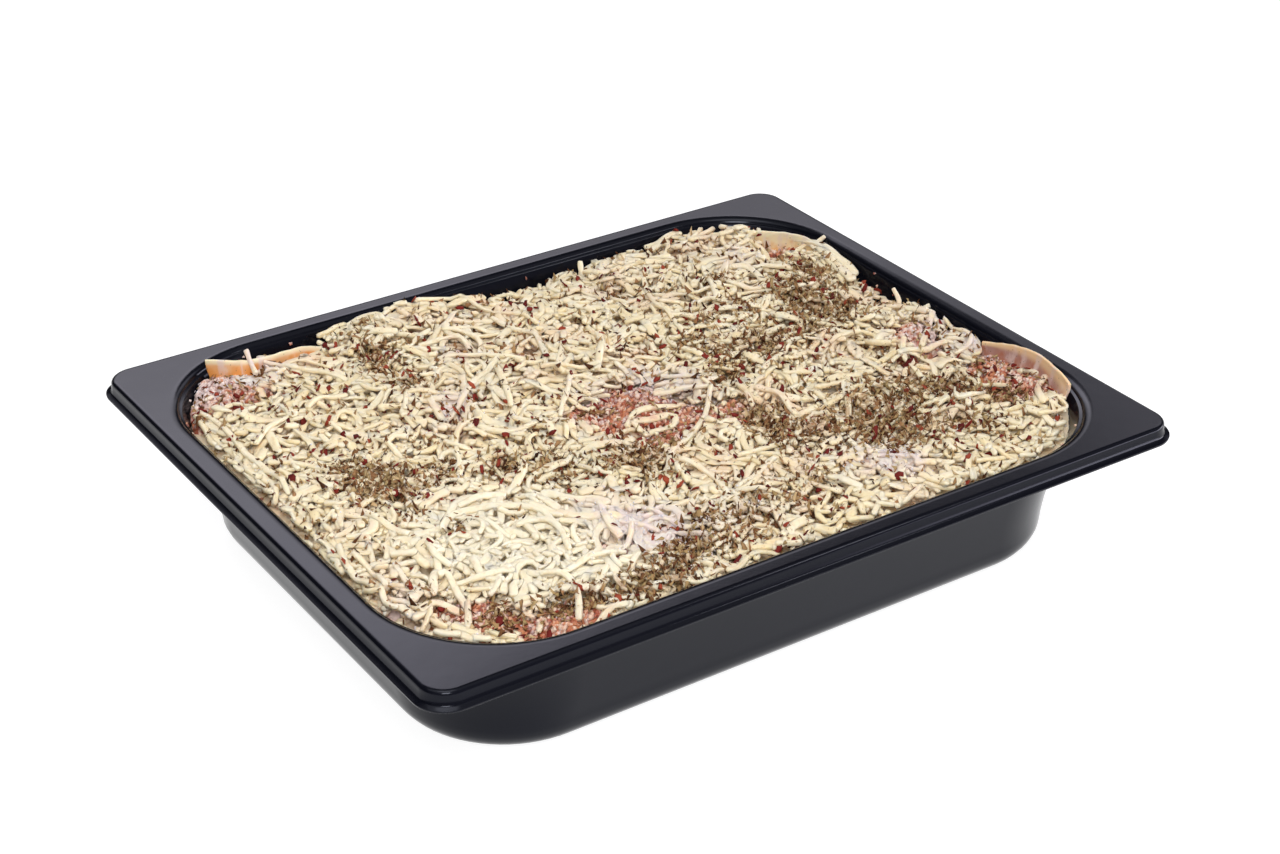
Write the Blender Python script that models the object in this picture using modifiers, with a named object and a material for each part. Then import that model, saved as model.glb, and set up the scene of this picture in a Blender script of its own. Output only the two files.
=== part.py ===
# Frozen lasagne in a black plastic half-size catering tray.
# The origin is under the middle of the tray on the surface it stands on: X along the long side, Z up, metres.
import math
import random

import bmesh
import bpy
from mathutils import Vector, noise

# Tray: one thin formed sheet. Insets are measured inwards from the outer edge of the lip.
TRAY_LENGTH = 0.325
TRAY_WIDTH = 0.265
TRAY_HEIGHT = 0.0565
TRAY_SHEET = 0.0009
LIP_DROP = 0.0057
LIP_CORNER = 0.0125
LIP_TURN = 0.0006
LIP_TURN_RISE = 0.0003
SKIRT_INSET = 0.0023
SHOULDER_INSET = 0.0041
SHOULDER_RADIUS = 0.0017
OPENING_INSET = 0.0098
OPENING_CORNER = 0.052
EDGE_ROLL = 0.0026
EDGE_DROP = 0.0018
WALL_TOP_INSET = 0.0132
WALL_TOP_DROP = 0.0026
WALL_TOP_CORNER = 0.051
WALL_FOOT_INSET = 0.0240
WALL_FOOT_CORNER = 0.0425
WALL_SWEEP = 0.85
FLOOR_FILLET = 0.0095
CORNER_STEPS = 6
ROLL_STEPS = 3
WALL_STEPS = 4
FILLET_STEPS = 3
FLOOR = TRAY_SHEET
FOOD_EDGE_SHARE = 0.2

# Food: the height of its top is a level with broad mounds and dips and small lumps on it.
GAP = 0.0003
FOOD_LEVEL = TRAY_HEIGHT - 0.0088
FOOD_LOWEST = TRAY_HEIGHT - 0.0150
CHEESE_DEPTH = 0.0040
LUMP_HEIGHT = 0.0018
LUMP_SCALE = 55.0
FIELD_BOTTOM = -0.0040
FIELD_CELL = 0.0125
UNDER_CELL = 0.0210
SAUCE_CELL = 0.0085
SAUCE_RISE = 0.0004
SAUCE_LUMP = 0.0009
SAUCE_LUMP_SCALE = 190.0

# Broad shape of the top: x, y, reach and rise of each mound, with a dip as a negative rise.
MOUNDS = (
    (-0.128, 0.094, 0.030, 0.0055),
    (-0.040, 0.114, 0.030, 0.0062),
    (0.006, 0.114, 0.016, -0.0015),
    (0.070, 0.112, 0.022, 0.0026),
    (0.118, 0.098, 0.026, 0.0045),
    (0.146, 0.062, 0.022, 0.0030),
    (0.146, 0.026, 0.016, -0.0025),
    (0.146, -0.020, 0.028, 0.0040),
    (0.142, -0.082, 0.026, 0.0055),
    (0.020, 0.012, 0.030, 0.0014),
    (-0.088, -0.070, 0.034, 0.0018),
    (-0.040, 0.048, 0.036, 0.0016),
    (0.052, -0.088, 0.026, 0.0018),
    (-0.132, 0.010, 0.030, 0.0022),
    (0.070, 0.040, 0.026, 0.0010),
    (-0.062, -0.026, 0.026, -0.0024),
    (0.072, -0.040, 0.030, -0.0028),
    (-0.020, -0.050, 0.022, -0.0016),
)

# Bare patches of meat sauce among the cheese: x, y, half length, half width and turn in degrees.
PATCHES = (
    (-0.124, 0.092, 0.021, 0.013, 28.0),
    (0.004, -0.002, 0.026, 0.011, -20.0),
    (0.126, -0.020, 0.018, 0.010, 60.0),
    (0.128, -0.070, 0.014, 0.009, 40.0),
    (-0.112, -0.100, 0.024, 0.008, -38.0),
    (-0.046, -0.082, 0.020, 0.009, -25.0),
    (0.052, -0.088, 0.014, 0.008, -20.0),
)
PATCH_SIDES = 20
PATCH_RAGGED = 0.22
PATCH_RAGGED_SCALE = 1.7
PATCH_UNLIKE = 100.0

# Edges of pasta sheets that stand out of the top: points along each, each x, y and height over the tray's rim.
PASTA_SHEET = 0.0012
PASTA_DEPTH = 0.012
PASTA_RUNS = {
    "left": (
        (-0.1225, 0.1085, 0.0045),
        (-0.1140, 0.1120, 0.0022),
        (-0.1030, 0.1135, -0.0010),
        (-0.0925, 0.1120, -0.0020),
        (-0.0820, 0.1125, -0.0022),
        (-0.0720, 0.1070, -0.0035),
    ),
    "back": (
        (0.1020, 0.1110, -0.0030),
        (0.1150, 0.1075, -0.0018),
        (0.1270, 0.1005, -0.0012),
        (0.1370, 0.0905, -0.0002),
        (0.1430, 0.0790, 0.0004),
        (0.1448, 0.0660, -0.0012),
        (0.1430, 0.0520, -0.0035),
    ),
    "right": (
        (0.1440, -0.0380, -0.0010),
        (0.1455, -0.0500, 0.0012),
        (0.1460, -0.0620, 0.0032),
        (0.1450, -0.0730, 0.0040),
        (0.1428, -0.0830, 0.0040),
        (0.1390, -0.0930, 0.0032),
    ),
}
PASTA_LEAN = {"left": 0.25, "back": 0.35, "right": 0.30}
PASTA_STEPS = 2
PASTA_ROWS = (0.0, 0.5, 1.0)
CHANNEL_WIDER = 2.6 * GAP
CHANNEL_LONGER = 3.0 * GAP

# Grated cheese: the largest shreds, fused on to the layer.
SHRED_COUNT = 98
SHRED_SEED = 11
SHRED_LENGTH = (0.014, 0.044)
SHRED_WIDTH = (0.0030, 0.0042)
SHRED_THICKNESS = 0.0024
SHRED_CROWN = 0.55
SHRED_END = 0.45
SHRED_LIFT = 0.0006
SHRED_BEND = 1.5
SHRED_PIECE = 0.0100
SHRED_CLEAR = 0.0035
SHRED_APART = 0.0080
PASTA_CLEAR = 0.0075
SHRED_TRIES = 200
SHRED_TESTS = (0.0, 0.33, 0.67, 1.0)

# Colours: linear red, green, blue, then roughness.
BLACK_PLASTIC = ((0.012, 0.013, 0.016), 0.28)
CHEESE = ((0.78, 0.66, 0.42), 0.55)
MEAT_SAUCE = ((0.33, 0.10, 0.06), 0.60)
PASTA = ((0.74, 0.50, 0.27), 0.50)


def start_clean():
    for old in list(bpy.data.objects):
        bpy.data.objects.remove(old, do_unlink=True)


def new_collection(name):
    found = bpy.data.collections.new(name)
    bpy.context.scene.collection.children.link(found)
    return found


def material(name, look):
    colour, roughness = look
    made = bpy.data.materials.new(name)
    made.use_nodes = True
    shader = made.node_tree.nodes["Principled BSDF"]
    shader.inputs["Base Color"].default_value = (*colour, 1.0)
    shader.inputs["Roughness"].default_value = roughness
    return made


def object_from(bm, name, collection):
    bmesh.ops.recalc_face_normals(bm, faces=bm.faces)
    mesh = bpy.data.meshes.new(name)
    bm.to_mesh(mesh)
    bm.free()
    made = bpy.data.objects.new(name, mesh)
    collection.objects.link(made)
    return made


def as_helper(helper):
    helper.hide_render = True
    helper.display_type = "WIRE"
    return helper


def baked(target):
    """Replaces the object's mesh with what its modifiers make of it."""
    bpy.context.view_layer.update()
    graph = bpy.context.evaluated_depsgraph_get()
    mesh = bpy.data.meshes.new_from_object(target.evaluated_get(graph))
    target.modifiers.clear()
    target.data = mesh
    return target


def combine(target, operand, operation):
    """Joins, cuts or keeps what is common, with an object or with all of a collection.

    The MANIFOLD solver is used because EXACT turned some cuts between these lumpy fields into joins.
    """
    join = target.modifiers.new(operation.title(), "BOOLEAN")
    join.operation = operation
    join.solver = "MANIFOLD"
    if isinstance(operand, bpy.types.Collection):
        join.operand_type = "COLLECTION"
        join.collection = operand
    else:
        join.object = operand
    return baked(target)


def keep_largest(target):
    """Drops the loose scraps that cutting leaves."""
    bm = bmesh.new()
    bm.from_mesh(target.data)
    waiting = set(bm.verts)
    islands = []
    while waiting:
        island = {waiting.pop()}
        reached = list(island)
        while reached:
            vert = reached.pop()
            near = {edge.other_vert(vert) for edge in vert.link_edges} - island
            island |= near
            reached.extend(near)
        waiting -= island
        islands.append(island)
    largest = max(islands, key=len)
    bmesh.ops.delete(bm, geom=[v for v in bm.verts if v not in largest], context="VERTS")
    bm.to_mesh(target.data)
    bm.free()
    return target


def rounded_ring(inset, corner, z):
    """Points of a rounded rectangle inside the tray's outline, the same number whatever its corners."""
    points = []
    middle_x = TRAY_LENGTH / 2 - inset - corner
    middle_y = TRAY_WIDTH / 2 - inset - corner
    for quarter, (side_x, side_y) in enumerate(((1, 1), (-1, 1), (-1, -1), (1, -1))):
        for step in range(CORNER_STEPS + 1):
            turn = math.pi / 2 * (quarter + step / CORNER_STEPS)
            x = side_x * middle_x + corner * math.cos(turn)
            y = side_y * middle_y + corner * math.sin(turn)
            points.append(Vector((x, y, z)))
    return points


def loft(bm, sections, cap_start=False, cap_end=False):
    """Skins closed sections of equal point counts, one after another."""
    rows = [[bm.verts.new(point) for point in section] for section in sections]
    for row, following in zip(rows, rows[1:]):
        for i, vert in enumerate(row):
            j = (i + 1) % len(row)
            bm.faces.new((vert, row[j], following[j], following[i]))
    if cap_start:
        bm.faces.new(reversed(rows[0]))
    if cap_end:
        bm.faces.new(rows[-1])


def wall_section(share, shrink=0.0):
    """Inset, corner radius and height of the wall's inner face at a share of the way down."""
    foot = FLOOR + FLOOR_FILLET
    top = TRAY_HEIGHT - WALL_TOP_DROP
    inset = WALL_TOP_INSET + (WALL_FOOT_INSET - WALL_TOP_INSET) * share**WALL_SWEEP
    corner = WALL_FOOT_CORNER + (WALL_TOP_CORNER - WALL_FOOT_CORNER) * (1 - share**3)
    return inset + shrink, corner - shrink, top + (foot - top) * share


def fillet_sections(shrink=0.0):
    """The round turn from wall to floor."""
    inset, corner, z = wall_section(1.0, shrink)
    radius = FLOOR_FILLET - shrink
    for step in range(1, FILLET_STEPS + 1):
        turn = math.pi / 2 * step / FILLET_STEPS
        run = radius * (1 - math.cos(turn))
        yield inset + run, corner - run, z - radius * math.sin(turn)


def tray_sections():
    """The tray's upper face from the trimmed edge of the lip to the floor."""
    rim = TRAY_HEIGHT
    outer = LIP_CORNER
    yield 0.0, outer, rim - LIP_DROP
    yield SKIRT_INSET - LIP_TURN, outer - SKIRT_INSET + LIP_TURN, rim - LIP_DROP + LIP_TURN_RISE
    yield SKIRT_INSET, outer - SKIRT_INSET, rim - LIP_DROP + 3 * LIP_TURN_RISE
    for step in range(ROLL_STEPS + 1):
        turn = math.pi / 2 * step / ROLL_STEPS
        inset = SHOULDER_INSET - SHOULDER_RADIUS * math.cos(turn)
        yield inset, outer - inset, rim - SHOULDER_RADIUS * (1 - math.sin(turn))
    for step in range(ROLL_STEPS + 1):
        turn = math.pi / 2 * step / ROLL_STEPS
        run = EDGE_ROLL * math.sin(turn)
        yield OPENING_INSET + run, OPENING_CORNER - run, rim - EDGE_DROP * (1 - math.cos(turn))
    for step in range(WALL_STEPS + 1):
        yield wall_section(step / WALL_STEPS)
    yield from fillet_sections()


def make_tray(collection):
    bm = bmesh.new()
    loft(bm, [rounded_ring(*section) for section in tray_sections()], cap_end=True)
    tray = object_from(bm, "tray", collection)
    if sum(face.normal.z * face.area for face in tray.data.polygons) < 0:
        tray.data.flip_normals()
    skin = tray.modifiers.new("Sheet", "SOLIDIFY")
    skin.thickness = TRAY_SHEET
    skin.offset = -1.0
    skin.use_even_offset = True
    tray.data.shade_smooth()
    tray.data.materials.append(material("black_plastic", BLACK_PLASTIC))
    return tray


def inside_of_tray(name, collection):
    """All the room in the tray up to over its rim, a gap clear of the wall and floor."""
    bm = bmesh.new()
    inset, corner, _ = wall_section(0.0, GAP)
    sections = [rounded_ring(inset, corner, TRAY_HEIGHT + CHEESE_DEPTH)]
    sections += [rounded_ring(*wall_section(step / WALL_STEPS, GAP)) for step in range(WALL_STEPS + 1)]
    sections += [rounded_ring(*section) for section in fillet_sections(GAP)]
    loft(bm, sections, cap_start=True, cap_end=True)
    return object_from(bm, name, collection)


def food_height(x, y):
    """Height of the top of the food."""
    height = FOOD_LEVEL
    for mound_x, mound_y, reach, rise in MOUNDS:
        height += rise * math.exp(-((x - mound_x) ** 2 + (y - mound_y) ** 2) / reach**2)
    return max(height + LUMP_HEIGHT * noise.noise(Vector((x, y, 0.0)) * LUMP_SCALE), FOOD_LOWEST)


def sauce_height(x, y):
    """Height of the meat sauce where it shows among the cheese."""
    lump = noise.noise(Vector((x, y, 0.1)) * SAUCE_LUMP_SCALE)
    return food_height(x, y) + SAUCE_RISE + SAUCE_LUMP * lump


def field_solid(name, height, cell, collection):
    """Everything under a height that varies over the tray."""
    bm = bmesh.new()
    across_x = round(TRAY_LENGTH / cell)
    across_y = round(TRAY_WIDTH / cell)
    bmesh.ops.create_grid(bm, x_segments=across_x, y_segments=across_y, size=0.5)
    bmesh.ops.scale(bm, vec=(TRAY_LENGTH, TRAY_WIDTH, 1.0), verts=bm.verts)
    bmesh.ops.triangulate(bm, faces=bm.faces, quad_method="FIXED")
    top = list(bm.verts)
    lower = bmesh.ops.extrude_face_region(bm, geom=bm.faces[:])["geom"]
    for vert in top:
        vert.co.z = height(vert.co.x, vert.co.y)
    for vert in lower:
        if isinstance(vert, bmesh.types.BMVert):
            vert.co.z = FIELD_BOTTOM
    return object_from(bm, name, collection)


def patch_radius(patch, turn):
    """Uneven outline of a bare patch, as a share of its ellipse."""
    sample = Vector((math.cos(turn), math.sin(turn), patch[0] * PATCH_UNLIKE))
    return 1 + PATCH_RAGGED * noise.noise(sample * PATCH_RAGGED_SCALE)


def patch_blobs(name, shrink, collection):
    """Upright uneven columns where the meat sauce shows."""
    bm = bmesh.new()
    for patch in PATCHES:
        x, y, half_length, half_width, degrees = patch
        made = bmesh.ops.create_cone(
            bm, cap_ends=True, segments=PATCH_SIDES, radius1=1.0, radius2=1.0, depth=TRAY_HEIGHT
        )
        tilt = math.radians(degrees)
        for vert in made["verts"]:
            turn = math.atan2(vert.co.y, vert.co.x)
            share = patch_radius(patch, turn)
            along = math.cos(turn) * (half_length * share - shrink)
            across = math.sin(turn) * (half_width * share - shrink)
            vert.co.x = x + along * math.cos(tilt) - across * math.sin(tilt)
            vert.co.y = y + along * math.sin(tilt) + across * math.cos(tilt)
            vert.co.z += TRAY_HEIGHT
    return object_from(bm, name, collection)


def in_patch(x, y, margin):
    for patch in PATCHES:
        patch_x, patch_y, half_length, half_width, degrees = patch
        tilt = math.radians(degrees)
        along = (x - patch_x) * math.cos(tilt) + (y - patch_y) * math.sin(tilt)
        across = (y - patch_y) * math.cos(tilt) - (x - patch_x) * math.sin(tilt)
        largest = 1 + PATCH_RAGGED
        if math.hypot(along / (half_length * largest + margin), across / (half_width * largest + margin)) < 1:
            return True
    return False


def smooth_run(points, steps):
    """A smooth line through the points, with so many steps from each to the next."""
    given = [Vector(point) for point in points]
    ends = [2 * given[0] - given[1], *given, 2 * given[-1] - given[-2]]
    line = []
    for before, start, end, after in zip(ends, ends[1:], ends[2:], ends[3:]):
        for step in range(steps):
            t = step / steps
            bend = 2 * before - 5 * start + 4 * end - after
            turn = 3 * start - before - 3 * end + after
            line.append(start + 0.5 * t * ((end - before) + t * (bend + t * turn)))
    return [*line, given[-1]]


def make_pasta(name, run, lean, thickness, grow, collection):
    """A standing edge of a pasta sheet, its foot leaning to the middle of the tray."""
    crest = smooth_run(run, PASTA_STEPS)
    crest[0] += (crest[0] - crest[1]).normalized() * grow
    crest[-1] += (crest[-1] - crest[-2]).normalized() * grow
    bm = bmesh.new()
    rows = []
    for point in crest:
        inward = Vector((-point.x, -point.y, 0.0)).normalized()
        rows.append([])
        for share in PASTA_ROWS:
            drop = share * PASTA_DEPTH + (2 * share - 1) * grow
            at = Vector((point.x, point.y, TRAY_HEIGHT + point.z - drop))
            rows[-1].append(bm.verts.new(at + inward * lean * share * drop))
    for row, following in zip(rows, rows[1:]):
        for upper, lower, upper_next, lower_next in zip(row, row[1:], following, following[1:]):
            bm.faces.new((upper, lower, lower_next, upper_next))
    sheet = object_from(bm, name, collection)
    skin = sheet.modifiers.new("Thickness", "SOLIDIFY")
    skin.thickness = thickness
    skin.offset = 0.0
    return baked(sheet)


def near_pasta(x, y, margin):
    return any(
        math.hypot(x - point.x, y - point.y) < margin
        for run in PASTA_RUNS.values()
        for point in smooth_run(run, PASTA_STEPS)
    )


def in_tray(x, y, margin):
    """Whether a place on the food is this far inside the wall."""
    inset, corner, _ = wall_section(FOOD_EDGE_SHARE, margin)
    middle_x = TRAY_LENGTH / 2 - inset - corner
    middle_y = TRAY_WIDTH / 2 - inset - corner
    over_x = max(abs(x) - middle_x, 0.0)
    over_y = max(abs(y) - middle_y, 0.0)
    return math.hypot(over_x, over_y) < corner


def shred_line(draw, x, y):
    """Centre line of one curved shred, seen from above."""
    length = draw.uniform(*SHRED_LENGTH)
    heading = draw.uniform(0.0, 2 * math.pi)
    bend = draw.uniform(-SHRED_BEND, SHRED_BEND)
    pieces = max(2, round(length / SHRED_PIECE))
    line = []
    for _ in range(pieces + 1):
        line.append(Vector((x, y, 0.0)))
        x += length / pieces * math.cos(heading)
        y += length / pieces * math.sin(heading)
        heading += bend / pieces
    return line


def shred_fits(line):
    tested = [start.lerp(end, share) for start, end in zip(line, line[1:]) for share in SHRED_TESTS]
    return all(
        in_tray(point.x, point.y, SHRED_CLEAR)
        and not in_patch(point.x, point.y, SHRED_CLEAR)
        and not near_pasta(point.x, point.y, PASTA_CLEAR)
        for point in tested
    )


def top_of(target, point):
    """The point of the object's top face over or under a place."""
    above = Vector((point.x, point.y, TRAY_HEIGHT * 2))
    hit, found, _, _ = target.ray_cast(above, Vector((0.0, 0.0, -1.0)))
    return found if hit else Vector((point.x, point.y, food_height(point.x, point.y)))


def make_shred(name, line, width, cheese, collection):
    """A flat strip with narrow ends, half sunk in the cheese."""
    bm = bmesh.new()
    sections = []
    for step, point in enumerate(line):
        before = line[max(step - 1, 0)]
        after = line[min(step + 1, len(line) - 1)]
        across = (after - before).normalized().cross(Vector((0.0, 0.0, 1.0)))
        narrow = SHRED_END if step in (0, len(line) - 1) else 1.0
        centre = top_of(cheese, point) + Vector((0.0, 0.0, SHRED_LIFT * narrow))
        side = across * width / 2 * narrow
        upward = Vector((0.0, 0.0, SHRED_THICKNESS / 2 * narrow))
        crown = side * SHRED_CROWN
        corners = (side - upward, crown + upward, upward - crown, -side - upward)
        sections.append([centre + corner for corner in corners])
    loft(bm, sections, cap_start=True, cap_end=True)
    return object_from(bm, name, collection)


def scatter_shreds(cheese, collection):
    """Shreds spread evenly over the cheese, each clear of patches, pasta and wall."""
    draw = random.Random(SHRED_SEED)
    centres = []
    tries = 0
    while len(centres) < SHRED_COUNT and tries < SHRED_COUNT * SHRED_TRIES:
        tries += 1
        x = draw.uniform(-TRAY_LENGTH / 2, TRAY_LENGTH / 2)
        y = draw.uniform(-TRAY_WIDTH / 2, TRAY_WIDTH / 2)
        line = shred_line(draw, x, y)
        middle = line[len(line) // 2]
        if not shred_fits(line) or any((middle - other).length < SHRED_APART for other in centres):
            continue
        centres.append(middle)
        make_shred(f"shred_{len(centres):03d}", line, draw.uniform(*SHRED_WIDTH), cheese, collection)


def remove_all(collection):
    for helper in list(collection.objects):
        bpy.data.objects.remove(helper, do_unlink=True)


def main():
    start_clean()
    parts = new_collection("lasagne_tray_meal")
    cutters = new_collection("cutters")
    shreds = new_collection("shreds")

    make_tray(parts)

    channels = []
    for name, run in PASTA_RUNS.items():
        sheet = make_pasta(f"pasta_sheet_{name}", run, PASTA_LEAN[name], PASTA_SHEET, 0.0, parts)
        sheet.data.materials.append(material(f"pasta_{name}", PASTA))
        wide = PASTA_SHEET + CHANNEL_WIDER
        channel = make_pasta(f"channel_{name}", run, PASTA_LEAN[name], wide, CHANNEL_LONGER, cutters)
        channels.append(as_helper(channel))

    room = as_helper(inside_of_tray("room", cutters))
    under = as_helper(
        field_solid("under_cheese", lambda x, y: food_height(x, y) - CHEESE_DEPTH, UNDER_CELL, cutters)
    )
    mounds = as_helper(field_solid("sauce_top", sauce_height, SAUCE_CELL, cutters))

    sauce = inside_of_tray("meat_sauce_filling", parts)
    combine(sauce, under, "INTERSECT")
    columns = as_helper(patch_blobs("sauce_columns", GAP, cutters))
    combine(columns, mounds, "INTERSECT")
    combine(columns, room, "INTERSECT")
    combine(sauce, columns, "UNION")
    for channel in channels:
        combine(sauce, channel, "DIFFERENCE")
    keep_largest(sauce)
    sauce.data.materials.append(material("meat_sauce", MEAT_SAUCE))

    cheese = inside_of_tray("grated_cheese", parts)
    over = as_helper(field_solid("cheese_top", food_height, FIELD_CELL, cutters))
    floor = as_helper(
        field_solid("cheese_floor", lambda x, y: food_height(x, y) - CHEESE_DEPTH + GAP, UNDER_CELL, cutters)
    )
    combine(cheese, over, "INTERSECT")
    combine(cheese, floor, "DIFFERENCE")
    for channel in channels:
        combine(cheese, channel, "DIFFERENCE")
    combine(cheese, as_helper(patch_blobs("patch_holes", 0.0, cutters)), "DIFFERENCE")
    bpy.context.view_layer.update()
    scatter_shreds(cheese, shreds)
    combine(cheese, shreds, "UNION")
    remove_all(shreds)
    keep_largest(cheese)
    cheese.data.materials.append(material("grated_cheese", CHEESE))


main()
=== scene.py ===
import math
import random

import bmesh
import bpy
import numpy as np
from mathutils import Matrix, Vector, noise


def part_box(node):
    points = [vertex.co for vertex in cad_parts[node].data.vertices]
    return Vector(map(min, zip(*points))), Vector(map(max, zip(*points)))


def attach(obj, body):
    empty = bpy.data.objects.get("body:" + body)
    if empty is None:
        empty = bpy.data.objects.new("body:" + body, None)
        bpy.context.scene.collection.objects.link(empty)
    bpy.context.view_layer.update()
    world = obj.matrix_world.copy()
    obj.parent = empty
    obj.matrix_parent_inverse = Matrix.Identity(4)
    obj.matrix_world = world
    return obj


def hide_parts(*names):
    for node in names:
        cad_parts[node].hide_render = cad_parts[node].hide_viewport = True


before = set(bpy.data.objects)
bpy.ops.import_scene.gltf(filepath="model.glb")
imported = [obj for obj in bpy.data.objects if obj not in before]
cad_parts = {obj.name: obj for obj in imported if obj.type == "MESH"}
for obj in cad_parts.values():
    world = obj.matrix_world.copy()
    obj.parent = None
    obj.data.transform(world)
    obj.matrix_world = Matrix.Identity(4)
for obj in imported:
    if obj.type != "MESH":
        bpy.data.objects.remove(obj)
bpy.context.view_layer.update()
scene = bpy.context.scene
trayLow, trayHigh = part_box("tray")
rim = trayHigh.z
halfLength = (trayHigh.x - trayLow.x) / 2
halfWidth = (trayHigh.y - trayLow.y) / 2
draw = random.Random(7)
table = np.random.default_rng(7)
tiny = 1e-9  # keeps a division by nothing out


# Node maths: a link is a socket that adds Math nodes when it is used in a sum.
class Link:
    def __init__(self, finish, socket):
        self.finish = finish
        self.socket = socket

    def __add__(self, other):
        return self.finish.sum("ADD", self, other)

    def __sub__(self, other):
        return self.finish.sum("SUBTRACT", self, other)

    def __rsub__(self, other):
        return self.finish.sum("SUBTRACT", other, self)

    def __mul__(self, other):
        return self.finish.sum("MULTIPLY", self, other)

    __radd__ = __add__
    __rmul__ = __mul__


class Finish:  # a material and the nodes that it is made of
    def __init__(self, name, constants):
        self.material = bpy.data.materials.new(name)
        self.material.use_nodes = True
        self.tree = self.material.node_tree
        self.shader = self.tree.nodes["Principled BSDF"]
        for socket, value in constants.items():
            self.shader.inputs[socket].default_value = value
        self.place = self.node("TexCoord", output="Object")

    def node(self, kind, settings=None, sockets=None, output=0):
        made = self.tree.nodes.new("ShaderNode" + kind)
        for name, value in (settings or {}).items():
            if name == "stops":
                ramp = made.color_ramp.elements
                while len(ramp) < len(value):
                    ramp.new(1.0)
                for stop, (position, colour) in zip(ramp, value):
                    stop.position = position
                    stop.color = colour
            else:
                setattr(made, name, value)
        for name, value in (sockets or {}).items():
            self.feed(made.inputs[name], value)
        return Link(self, made.outputs[output])

    def feed(self, socket, value):
        if isinstance(value, Link):
            self.tree.links.new(value.socket, socket)
        else:
            socket.default_value = value

    def give(self, socket, value):  # the value of one of the shader's own sockets
        self.feed(self.shader.inputs[socket], value)

    def sum(self, operation, first, second):
        return self.node("Math", {"operation": operation}, {0: first, 1: second})

    def noise(self, scale, detail=2.0, stretch=(1.0, 1.0, 1.0)):
        place = self.node("Mapping", sockets={"Vector": self.place, "Scale": stretch})
        sockets = {"Vector": place, "Scale": scale, "Detail": detail, "Roughness": 0.55}
        return self.node("TexNoise", sockets=sockets)

    def cells(self, scale):
        return self.node("TexVoronoi", sockets={"Vector": self.place, "Scale": scale}, output="Distance")

    def attribute(self, name):
        return self.node("Attribute", {"attribute_name": name}, output="Fac")

    def between(self, value, low, high):  # 0 under low, 1 over high and smooth between
        sockets = {"Value": value, "From Min": low, "From Max": high}
        return self.node("MapRange", {"interpolation_type": "SMOOTHSTEP"}, sockets)

    def mix(self, share, first, second):
        return self.node("Mix", {"data_type": "RGBA"}, {0: share, 6: first, 7: second}, output=2)

    def bump(self, height, distance, strength):
        sockets = {"Height": height, "Distance": distance, "Strength": strength}
        self.give("Normal", self.node("Bump", sockets=sockets))


class Sky(Finish):  # the world's light, made of nodes in the same way
    def __init__(self, name):
        scene.world = bpy.data.worlds.new(name)
        scene.world.use_nodes = True
        self.tree = scene.world.node_tree
        self.shader = self.tree.nodes["Background"]
        self.place = self.node("TexCoord", output="Generated")

    def part(self, axis):
        return self.node("SeparateXYZ", sockets={"Vector": self.place}, output=axis)


def colour(red, green, blue):
    return (red, green, blue, 1.0)


# Camera: placed and turned as the one that took the photo.
view = {
    "place": (-0.45521, -0.68696, 0.50671),
    "azimuth": -33.8,
    "elevation": 29.336,
    "lens": 69.03,
    "film": 36.0,
    "photoSize": (1280, 854),
}


def viewAxes():  # the camera's right, up and back
    azimuth = math.radians(view["azimuth"])
    elevation = math.radians(view["elevation"])
    right = Vector((math.cos(azimuth), math.sin(azimuth), 0.0))
    back = Vector((
        math.sin(azimuth) * math.cos(elevation),
        -math.cos(azimuth) * math.cos(elevation),
        math.sin(elevation),
    ))
    return right, back.cross(right), back


def makeCamera():
    right, up, back = viewAxes()
    data = bpy.data.cameras.new("photoCamera")
    data.lens = view["lens"]
    data.sensor_width = view["film"]
    camera = linked("photoCamera", data)
    turn = Matrix((right, up, back)).transposed().to_4x4()
    camera.matrix_world = Matrix.Translation(view["place"]) @ turn
    scene.camera = camera


def photoPlace(across, down, height):  # where the line of sight through a pixel of the photo meets a level
    right, up, back = viewAxes()
    wide, high = view["photoSize"]
    reach = view["lens"] / view["film"] * wide
    sight = right * ((across - wide / 2) / reach) - up * ((down - high / 2) / reach) - back
    start = Vector(view["place"])
    meet = start + sight * ((height - start.z) / sight.z)
    return meet.x, meet.y


# Pieces
def linked(name, data):
    made = bpy.data.objects.new(name, data)
    scene.collection.objects.link(made)
    return made


def placed(mesh, name, finish, replaced=()):
    mesh.shade_smooth()
    mesh.materials.append(finish.material)
    piece = linked(name, mesh)
    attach(piece, "root")
    if replaced:
        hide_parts(*replaced)
    return piece


def meshFrom(bm, name):
    mesh = bpy.data.meshes.new(name)
    bm.to_mesh(mesh)
    bm.free()
    return mesh


def shapeFrom(bm):  # the points and faces of a small shape that is copied many times
    bmesh.ops.recalc_face_normals(bm, faces=bm.faces)
    bm.verts.index_update()
    points = np.array([vert.co[:] for vert in bm.verts])
    faces = [[vert.index for vert in face.verts] for face in bm.faces]
    bm.free()
    return points, faces


def joinedMesh(name, faces, copies):  # one mesh of many copies of a shape, each with points of its own
    count = len(copies[0])
    allFaces = [[count * copy + corner for corner in face] for copy in range(len(copies)) for face in faces]
    mesh = bpy.data.meshes.new(name)
    mesh.from_pydata(np.concatenate(copies).tolist(), [], allFaces)
    return mesh


def giveAttribute(mesh, name, values):  # one value for each point, or one for all
    values = np.full(len(mesh.vertices), values, np.float32)
    mesh.attributes.new(name, "FLOAT", "POINT").data.foreach_set("value", values)


def pointsOf(mesh):
    points = np.zeros(len(mesh.vertices) * 3)
    mesh.vertices.foreach_get("co", points)
    return points.reshape(-1, 3)


def flatPlaces(verts):  # x and y of points
    return np.array([vert.co.xy for vert in verts]).T


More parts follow.
